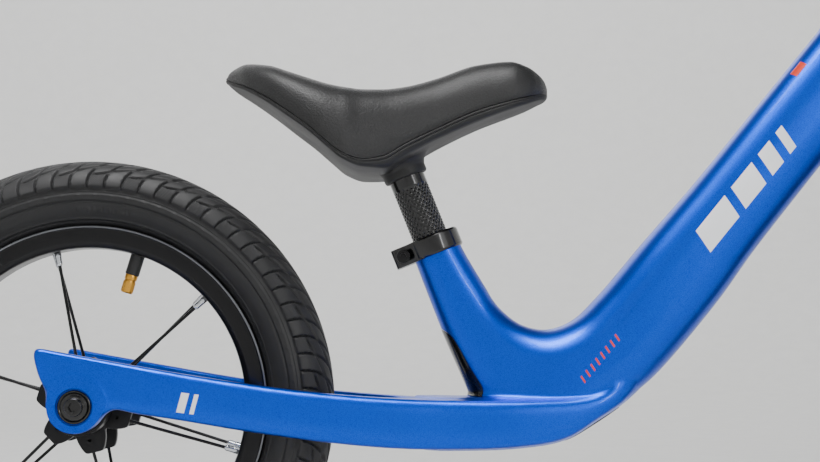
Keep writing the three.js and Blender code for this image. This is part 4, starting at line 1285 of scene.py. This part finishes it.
def make_marks():
    """Plain bars in place of lettering, the same on both sides."""
    out = []
    blocks = [(-42, -14), (-8, 12), (18, 29), (35, 41)]
    ticks = [(k * 4.6 - 16, k * 4.6 - 14.8) for k in range(8)]
    for side, tag in ((RIGHT, "right"), (LEFT, "left")):
        bars = [slanted((97, 278.8), a, b, -7.5, 7.5, 0.3) for a, b in blocks]
        out.append((film(f"tube_bars_{tag}", bars, side), "white_film"))
        small = [slanted((7.5, 176), a, b, -2.2, 2.2, 0.3) for a, b in ticks]
        out.append((film(f"tube_ticks_{tag}", small, side), "orange_film"))
        label = [slanted((131.5, 352.4), -5, 5, -1.8, 2.0, 0.0)]
        out.append((film(f"tube_label_{tag}", label, side), "orange_film"))
        out.append((film(f"stay_bars_{tag}", STAY_BARS, side), "white_film"))
    return out


# --- Materials -----------------------------------------------------------------------------


class Nodes:
    """Adds nodes to one material and joins them up."""

    def __init__(self, name):
        self.material = bpy.data.materials.new(name)
        self.material.use_nodes = True
        self.tree = self.material.node_tree
        self.shader = self.tree.nodes["Principled BSDF"]
        self.place = self.tree.nodes.new("ShaderNodeTexCoord").outputs["Object"]

    def add(self, kind, inputs=None, **settings):
        node = self.tree.nodes.new("ShaderNode" + kind)
        for key, value in settings.items():
            setattr(node, key, value)
        for key, value in (inputs or {}).items():
            self.put(node.inputs[key], value)
        return node

    def put(self, socket, value):
        if isinstance(value, bpy.types.NodeSocket):
            self.tree.links.new(value, socket)
        else:
            socket.default_value = value

    def noise(self, scale, detail=2.0, rough=0.5, vector=None):
        where = {"Vector": vector or self.place, "Scale": scale, "Detail": detail, "Roughness": rough}
        return self.add("TexNoise", where).outputs["Fac"]

    def cells(self, scale, feature="F1", vector=None, smooth=None):
        inputs = {"Vector": vector or self.place, "Scale": scale}
        if smooth is not None:
            inputs["Smoothness"] = smooth
        return self.add("TexVoronoi", inputs, feature=feature).outputs["Distance"]

    def ranged(self, value, low, high, out_low, out_high):
        names = ("Value", "From Min", "From Max", "To Min", "To Max")
        node = self.add("MapRange", dict(zip(names, (value, low, high, out_low, out_high))))
        return node.outputs["Result"]

    def math(self, operation, a, b=0.0):
        return self.add("Math", {0: a, 1: b}, operation=operation).outputs[0]

    def mix(self, factor, a, b):
        node = self.add("Mix", data_type="RGBA")
        self.put(node.inputs[0], factor)
        self.put(node.inputs[6], a)
        self.put(node.inputs[7], b)
        return node.outputs[2]

    def bump(self, height, distance, strength=1.0, under=None):
        inputs = {"Height": height, "Distance": distance * MM, "Strength": strength}
        if under is not None:
            inputs["Normal"] = under
        return self.add("Bump", inputs).outputs["Normal"]

    def set(self, **inputs):
        for key, value in inputs.items():
            self.put(self.shader.inputs[key.replace("_", " ")], value)
        return self.material


def rgba(r, g, b):
    """A colour given as 0-255 display values."""
    def linear(c):
        c /= 255
        return c / 12.92 if c <= 0.04045 else ((c + 0.055) / 1.055) ** 2.4
    return (linear(r), linear(g), linear(b), 1.0)


def blue_paint():
    """Metallic blue under clear lacquer: fine flake that sparkles, faint orange peel on top."""
    n = Nodes("blue_metallic_paint")
    flake = n.cells(2600)
    broad = n.noise(14, 3)
    colour = n.mix(n.ranged(flake, 0.1, 0.8, 0.0, 1.0), rgba(0, 94, 224), rgba(0, 56, 186))
    colour = n.mix(n.ranged(broad, 0.3, 0.7, 0.0, 0.16), colour, rgba(0, 48, 158))
    rough = n.ranged(flake, 0.0, 0.9, 0.30, 0.42)
    peel = n.bump(n.noise(420, 1), 0.012, 0.35)
    sparkle = n.bump(flake, 0.02, 0.22, peel)
    n.put(n.shader.inputs["Coat Normal"], peel)
    n.set(Coat_Weight=0.2, Coat_Roughness=0.08)
    return n.set(Base_Color=colour, Metallic=0.94, Roughness=rough, Normal=sparkle)


def plain_finish(name, colour, dark, roughness, spread, scale, height, metallic=0.0, coat=0.0, streak=None):
    """A hard surface: fine grain in its relief, slow change in its colour and gloss."""
    n = Nodes(name)
    fine = n.noise(scale, 3, 0.6)
    broad = n.noise(22, 4, 0.6)
    tone = n.mix(n.ranged(broad, 0.3, 0.7, 0.0, 1.0), colour, dark)
    slow = n.ranged(broad, 0.3, 0.7, roughness - spread, roughness + spread)
    rough = n.math("ADD", slow, n.ranged(fine, 0.3, 0.7, -spread / 2, spread / 2))
    normal = n.bump(fine, height, 0.6)
    if streak:
        stretched = n.add("Mapping", {"Vector": n.place, "Scale": streak}).outputs[0]
        normal = n.bump(n.noise(900, 2, vector=stretched), height, 0.5, normal)
    n.set(Coat_Weight=coat, Coat_Roughness=0.08)
    return n.set(Base_Color=tone, Metallic=metallic, Roughness=rough, Normal=normal)


def wheel_angle(n):
    """The angle round the wheel and the distance from its axle, from the piece's own coordinates."""
    parts = n.add("SeparateXYZ", {"Vector": n.place}).outputs
    angle = n.math("ARCTAN2", parts[0], parts[2])
    squares = [n.math("MULTIPLY", parts[k], parts[k]) for k in (0, 2)]
    radius = n.math("SQRT", n.math("ADD", *squares))
    return angle, radius


# The hatched band on the tyre's shoulder, in metres.
HATCH_INNER = 0.1318
HATCH_OUTER = 0.1405
HATCH_PITCH = 0.00105


def tyre_rubber():
    """Moulded tyre rubber: matt and faintly dusty, its crown painted lighter as dust and a painted
    highlight, with fine hatching on every other shoulder block.
    """
    n = Nodes("moulded_tyre_rubber")
    angle, radius = wheel_angle(n)
    turns = n.math("MULTIPLY", angle, TYRE_PITCHES / (2 * math.pi))
    even = n.math("LESS_THAN", n.math("FRACT", n.math("MULTIPLY", turns, 0.5)), 0.5)
    above = n.math("GREATER_THAN", radius, HATCH_INNER)
    below = n.math("LESS_THAN", radius, HATCH_OUTER)
    mask = n.math("MULTIPLY", even, n.math("MULTIPLY", above, below))
    slope = n.math("ADD", n.math("MULTIPLY", angle, 0.135), radius)
    lines = n.math("SINE", n.math("MULTIPLY", slope, 2 * math.pi / HATCH_PITCH))
    hatch = n.math("MULTIPLY", lines, mask)
    fine = n.noise(1500, 3, 0.65)
    cloud = n.noise(30, 4, 0.6)
    crown_dust_and_highlight = n.ranged(radius, 0.130, 0.146, 0.0, 1.0)
    colour = n.mix(n.ranged(cloud, 0.35, 0.7, 0.0, 1.0), rgba(12, 12, 14), rgba(18, 18, 20))
    # The crown is painted lighter in fine specks: dust, and a painted highlight on the tread.
    colour = n.mix(n.math("MULTIPLY", crown_dust_and_highlight, n.ranged(fine, 0.4, 0.75, 0.0, 0.4)), colour, rgba(36, 35, 35))
    rough = n.ranged(cloud, 0.3, 0.7, 0.50, 0.66)
    normal = n.bump(fine, 0.05, 0.6)
    normal = n.bump(hatch, 0.07, 1.0, normal)
    return n.set(Base_Color=colour, Roughness=rough, Normal=normal)


def grip_rubber():
    """Soft black rubber with a fine pebbled surface."""
    n = Nodes("soft_grip_rubber")
    fine = n.cells(1500)
    cloud = n.noise(40, 3)
    colour = n.mix(cloud, rgba(13, 13, 15), rgba(22, 22, 24))
    rough = n.ranged(cloud, 0.3, 0.7, 0.58, 0.74)
    return n.set(Base_Color=colour, Roughness=rough, Normal=n.bump(fine, 0.06, 0.7))


def saddle_vinyl():
    """Soft black vinyl with an embossed pebble grain and finer creases between the pebbles."""
    n = Nodes("pebbled_saddle_vinyl")
    wobble = n.noise(300, 2)
    pebble = n.cells(880, "SMOOTH_F1", smooth=0.35)
    crease = n.cells(1900, "DISTANCE_TO_EDGE")
    fine = n.noise(3200, 2)
    # Painted shade: the valleys between the pebbles are painted darker than their tops.
    colour = n.mix(n.ranged(pebble, 0.15, 0.6, 0.0, 1.0), rgba(11, 11, 13), rgba(6, 6, 7))
    colour = n.mix(n.ranged(wobble, 0.4, 0.7, 0.0, 0.25), colour, rgba(20, 20, 20))
    rough = n.ranged(pebble, 0.1, 0.6, 0.34, 0.5)
    lines = n.math("MULTIPLY", n.ranged(crease, 0.0, 0.12, 0.0, 1.0), 0.18)
    height = n.math("ADD", n.math("MULTIPLY", pebble, -1.0), lines)
    normal = n.bump(height, 0.16, 0.85)
    normal = n.bump(fine, 0.02, 0.4, normal)
    return n.set(Base_Color=colour, Roughness=rough, Normal=normal)


# Colour, darker colour, roughness and its spread, grain scale, grain height, metallic, coat, streak.
HARD_FINISHES = {
    "black_gloss": ("black_lacquer", (7, 7, 8), (11, 11, 12), 0.24, 0.04, 900, 0.012, 0.5, 0.5),
    "black_satin": ("satin_black_alloy", (13, 13, 15), (19, 19, 21), 0.40, 0.06, 2200, 0.02, 0.6),
    "black_plastic": ("moulded_black_plastic", (6, 6, 7), (9, 9, 10), 0.58, 0.06, 2600, 0.03),
    "rim_black": (
        "black_anodised_rim", (11, 11, 13), (16, 16, 18), 0.34, 0.05, 1800, 0.015, 0.7, 0.2, (1, 0.1, 1),
    ),
    "spoke_black": ("black_spoke_steel", (13, 13, 15), (19, 19, 21), 0.28, 0.04, 2500, 0.01, 0.8, 0.3),
    "nipple_silver": ("plated_nipple", (205, 208, 212), (178, 182, 188), 0.2, 0.05, 2500, 0.01, 1.0),
    "tube_rubber": ("valve_stem_rubber", (14, 14, 16), (21, 21, 23), 0.5, 0.08, 1600, 0.03),
    "bearing_steel": ("ground_steel", (190, 193, 197), (160, 163, 168), 0.3, 0.06, 2400, 0.012, 1.0),
    "brass": ("turned_brass", (222, 168, 74), (190, 132, 48), 0.3, 0.06, 2000, 0.015, 1.0),
    "white_film": ("white_film", (236, 237, 240), (226, 228, 232), 0.34, 0.04, 1400, 0.008, 0.0, 0.5),
    "orange_film": ("orange_film", (208, 46, 16), (190, 38, 12), 0.36, 0.04, 1400, 0.008, 0.0, 0.5),
    "floor": ("pale_floor", (226, 226, 225), (222, 222, 221), 0.8, 0.04, 60, 0.05),
    "rim_edge": ("rim_edge_metal", (120, 122, 126), (96, 98, 102), 0.3, 0.05, 1800, 0.01, 1.0),
}


def make_materials():
    looks = {
        "blue_paint": blue_paint(),
        "tyre_rubber": tyre_rubber(),
        "grip_rubber": grip_rubber(),
        "saddle_vinyl": saddle_vinyl(),
    }
    for look, (name, colour, dark, *rest) in HARD_FINISHES.items():
        looks[look] = plain_finish(name, rgba(*colour), rgba(*dark), *rest)
    return looks


# --- Putting it together -------------------------------------------------------------------

MATERIALS = make_materials()


def dress(obj, look, body, nodes=()):
    """Gives a piece its material, its CAD body and the CAD nodes that it stands for."""
    obj.data.materials.clear()
    obj.data.materials.append(MATERIALS[look])
    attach(obj, body)
    if nodes:
        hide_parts(*nodes)
    return obj


def add_frame():
    dress(make_frame(), "blue_paint", "frame", ["main_frame"])
    dress(make_insert(), "black_gloss", "frame", ["seat_tube_cover"])
    dress(make_guard(), "black_plastic", "frame", ["belly_guard"])
    dress(make_collar(), "black_gloss", "frame", ["seat_clamp"])
    bolt = cap_bolt("seat_collar_bolt", on_seat(COLLAR_HEIGHT / 2, 20, -8.3), -SIDE, 4.1, 4.0, 2.4, 15, 3.6)
    dress(bolt, "spoke_black", "frame", ["seat_clamp_bolt"])
    for side, tag in ((RIGHT, "right"), (LEFT, "left")):
        bolt = axle_bolt(f"rear_axle_cap_{tag}", REAR_AXLE, side)
        dress(bolt, "black_gloss", "frame", [f"rear_axle_bolt_{tag}"])
    dress(make_axle("rear_axle_rod", REAR_AXLE), "bearing_steel", "frame", ["rear_axle"])
    for obj, look in make_marks():
        dress(obj, look, "frame")


def make_axle(name, axle, half_length=46.6, radius=6):
    profile = [(0, -half_length), (radius, -half_length), (radius, half_length), (0, half_length)]
    return turned(name, profile, axle, SIDE, 48, fillet=0.5, at=axle)


def add_seat():
    dress(make_post(), "black_gloss", "seat", ["seat_post"])
    pad = make_pad()
    dress(pad, "saddle_vinyl", "seat", ["saddle_pad"])
    dress(make_base(), "black_plastic", "seat", ["saddle_base"])


EDGE_RADIUS = 107.2
EDGE_OFFSET = 12.5


def edge_line(rim):
    """Lighter grey metal on the faces along the rim's outermost edge."""
    rim.data.materials.append(MATERIALS["rim_edge"])
    for face in rim.data.polygons:
        x, y, z = (v / MM for v in face.center)
        face.material_index = int(math.hypot(x, z) > EDGE_RADIUS and abs(y) > EDGE_OFFSET)


def add_wheels():
    parts = {
        "tyre": (make("rear_tyre_tread", *tyre_mesh(), 50), "tyre_rubber", "tyre"),
        "rim": (make_rim(), "rim_black", "rim"),
        "hub": (make_hub(), "black_satin", "hub_shell"),
        "tube": (make_tube("rear_tube_valve"), "tube_rubber", "inner_tube"),
        "cap": (make_valve_cap("rear_valve_cap"), "brass", None),
        "bearing_right": (make_bearing(), "bearing_steel", "bearing_right"),
    }
    wheels = (("rear", REAR_AXLE), ("front", FRONT_AXLE))
    for prefix, axle in wheels:
        body = f"{prefix}_wheel"
        for obj, look, node in parts.values():
            piece = obj
            if prefix == "front":
                piece = copies(obj, obj.name.replace("rear", "front", 1), axle)
            shift = RIGHT * BEARING_OFFSET if node == "bearing_right" else 0
            piece.location = (axle + SIDE * shift) * MM
            dress(piece, look, body, [f"{prefix}_{node}"] if node else ())
            if node == "rim":
                edge_line(piece)
        far_side = axle + SIDE * LEFT * BEARING_OFFSET
        twin = copies(parts["bearing_right"][0], f"{prefix}_bearing_far", far_side)
        dress(twin, "bearing_steel", body, [f"{prefix}_bearing_left"])
    number = 0
    for degrees in SPOKE_PAIRS:
        for side in (RIGHT, LEFT):
            number += 1
            spoke = spoke_mesh(f"rear_wire_{number:02d}", degrees, side)
            paint_ends(spoke, degrees, side)
            twin = copies(spoke, f"front_wire_{number:02d}", FRONT_AXLE)
            spoke.location = REAR_AXLE * MM
            for prefix, piece in (("rear", spoke), ("front", twin)):
                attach(piece, f"{prefix}_wheel")
                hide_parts(f"{prefix}_spoke_{number:02d}")


NIPPLE_LENGTH = 10.4
SPOKE_HEAD_LENGTH = 1.6


def paint_ends(spoke, degrees, side):
    """Black along the shaft, plated at the nipple and at the head in the hub."""
    start, end = spoke_line(degrees, side)
    out = unit(start, end)
    length = np.linalg.norm(end - start)
    spoke.data.materials.clear()
    spoke.data.materials.append(MATERIALS["spoke_black"])
    spoke.data.materials.append(MATERIALS["nipple_silver"])
    for face in spoke.data.polygons:
        along = (np.array(face.center) / MM - start).dot(out)
        face.material_index = int(along > length - NIPPLE_LENGTH or along < SPOKE_HEAD_LENGTH)


def add_steering():
    dress(make_fork(), "blue_paint", "steering", ["fork"])
    low, high, cover = make_headset()
    dress(low, "bearing_steel", "frame", ["lower_headset_bearing"])
    dress(high, "bearing_steel", "frame", ["upper_headset_bearing"])
    dress(cover, "black_satin", "steering", ["headset_cover"])
    dress(make_stem(), "black_satin", "steering", ["stem"])
    dress(make_faceplate(), "black_satin", "steering", ["stem_faceplate"])
    dress(make_top_cap(), "black_satin", "steering", ["top_cap"])
    for bolt in make_stem_bolts():
        dress(bolt, "black_gloss", "steering")
    cap = cap_bolt("top_cap_bolt", on_steer(STEM_FOOT + STEM_HEIGHT + 2.7), STEER_UP, 4.4, 2.2, 2.4, 2, 3.4)
    dress(cap, "black_gloss", "steering")
    dress(make_bar(), "black_satin", "steering", ["handlebar"])
    for side, tag in ((RIGHT, "right"), (LEFT, "left")):
        dress(make_grip(f"rubber_grip_{tag}", side), "grip_rubber", "steering", [f"grip_{tag}"])
        bolt = axle_bolt(f"front_axle_cap_{tag}", FRONT_AXLE, side)
        dress(bolt, "black_gloss", "steering", [f"front_axle_bolt_{tag}"])
    dress(make_axle("front_axle_rod", FRONT_AXLE), "bearing_steel", "steering", ["front_axle"])


def add_floor():
    """A pale floor that sweeps up into a round wall far off, so that no horizon shows."""
    profile = [(0, 0), (3.2, 0), (4.2, 0.12), (5.0, 0.55), (5.5, 1.3), (5.7, 2.4), (5.7, 4.2)]
    path = spline(profile, 6)
    segments = 96
    a = np.arange(segments) / segments * 2 * math.pi
    rows = []
    for radius, height in path:
        r = max(radius, 0.001)
        rows.append(np.stack([r * np.cos(a), r * np.sin(a), np.full(segments, height)], 1))
    floor = make("studio_floor", np.vstack(rows) / MM, grid_faces(len(rows), segments), 60)
    floor.data.materials.append(MATERIALS["floor"])


MIDDLE = (0, 0, 0.24)
# Place, power in watts, width, height and target, in metres.
LIGHTS = {
    "key": ((-0.45, -0.6, 2.1), 34, 1.3, 0.7, MIDDLE),
    "fill": ((1.6, -1.7, 0.9), 4, 0.7, 1.2, MIDDLE),
    "back": ((-0.9, 2.2, 1.7), 12, 2.2, 1.0, MIDDLE),
    "crest": ((-0.15, -0.35, 1.5), 12, 0.9, 0.4, (-0.13, 0, 0.34)),
    "strip": ((0.95, -1.6, 0.85), 6, 0.1, 0.8, (-0.05, 0, 0.28)),
}
WALL_LIGHTS = 5
WORLD_STRENGTH = 0.14


def add_light(name, place, energy, width, height, target):
    light = bpy.data.lights.new(name, "AREA")
    light.shape = "RECTANGLE"
    light.size, light.size_y = width, height
    light.energy = energy
    obj = bpy.data.objects.new(name, light)
    obj.location = place
    obj.rotation_euler = (Vector(target) - Vector(place)).to_track_quat("-Z", "Y").to_euler()
    bpy.context.scene.collection.objects.link(obj)


def add_lights():
    for name, settings in LIGHTS.items():
        add_light(name, *settings)
    for k in range(WALL_LIGHTS):
        turn = (k + 0.3) / WALL_LIGHTS * 2 * math.pi
        across, ahead = math.cos(turn), math.sin(turn)
        lamp = (3 * across, 3 * ahead, 3.4)
        wall = (5.6 * across, 5.6 * ahead, 0.9)
        add_light(f"wall_{k + 1}", lamp, 90, 1.6, 0.8, wall)
    world = bpy.data.worlds.new("studio")
    world.use_nodes = True
    background = world.node_tree.nodes["Background"]
    background.inputs["Color"].default_value = (0.86, 0.88, 0.9, 1)
    background.inputs["Strength"].default_value = WORLD_STRENGTH
    bpy.context.scene.world = world


CAMERA_PLACE = (-0.1055, -1.06, 0.1827)
CAMERA_TILT = 3.87  # degrees above the horizontal


def add_camera():
    lens = bpy.data.cameras.new("camera")
    lens.lens = 76.0
    lens.sensor_width = 36.0
    obj = bpy.data.objects.new("camera", lens)
    obj.location = CAMERA_PLACE
    obj.rotation_euler = (math.radians(90 + CAMERA_TILT), 0, 0)
    bpy.context.scene.collection.objects.link(obj)
    bpy.context.scene.camera = obj


add_frame()
add_seat()
add_wheels()
add_steering()
add_floor()
add_lights()
add_camera()
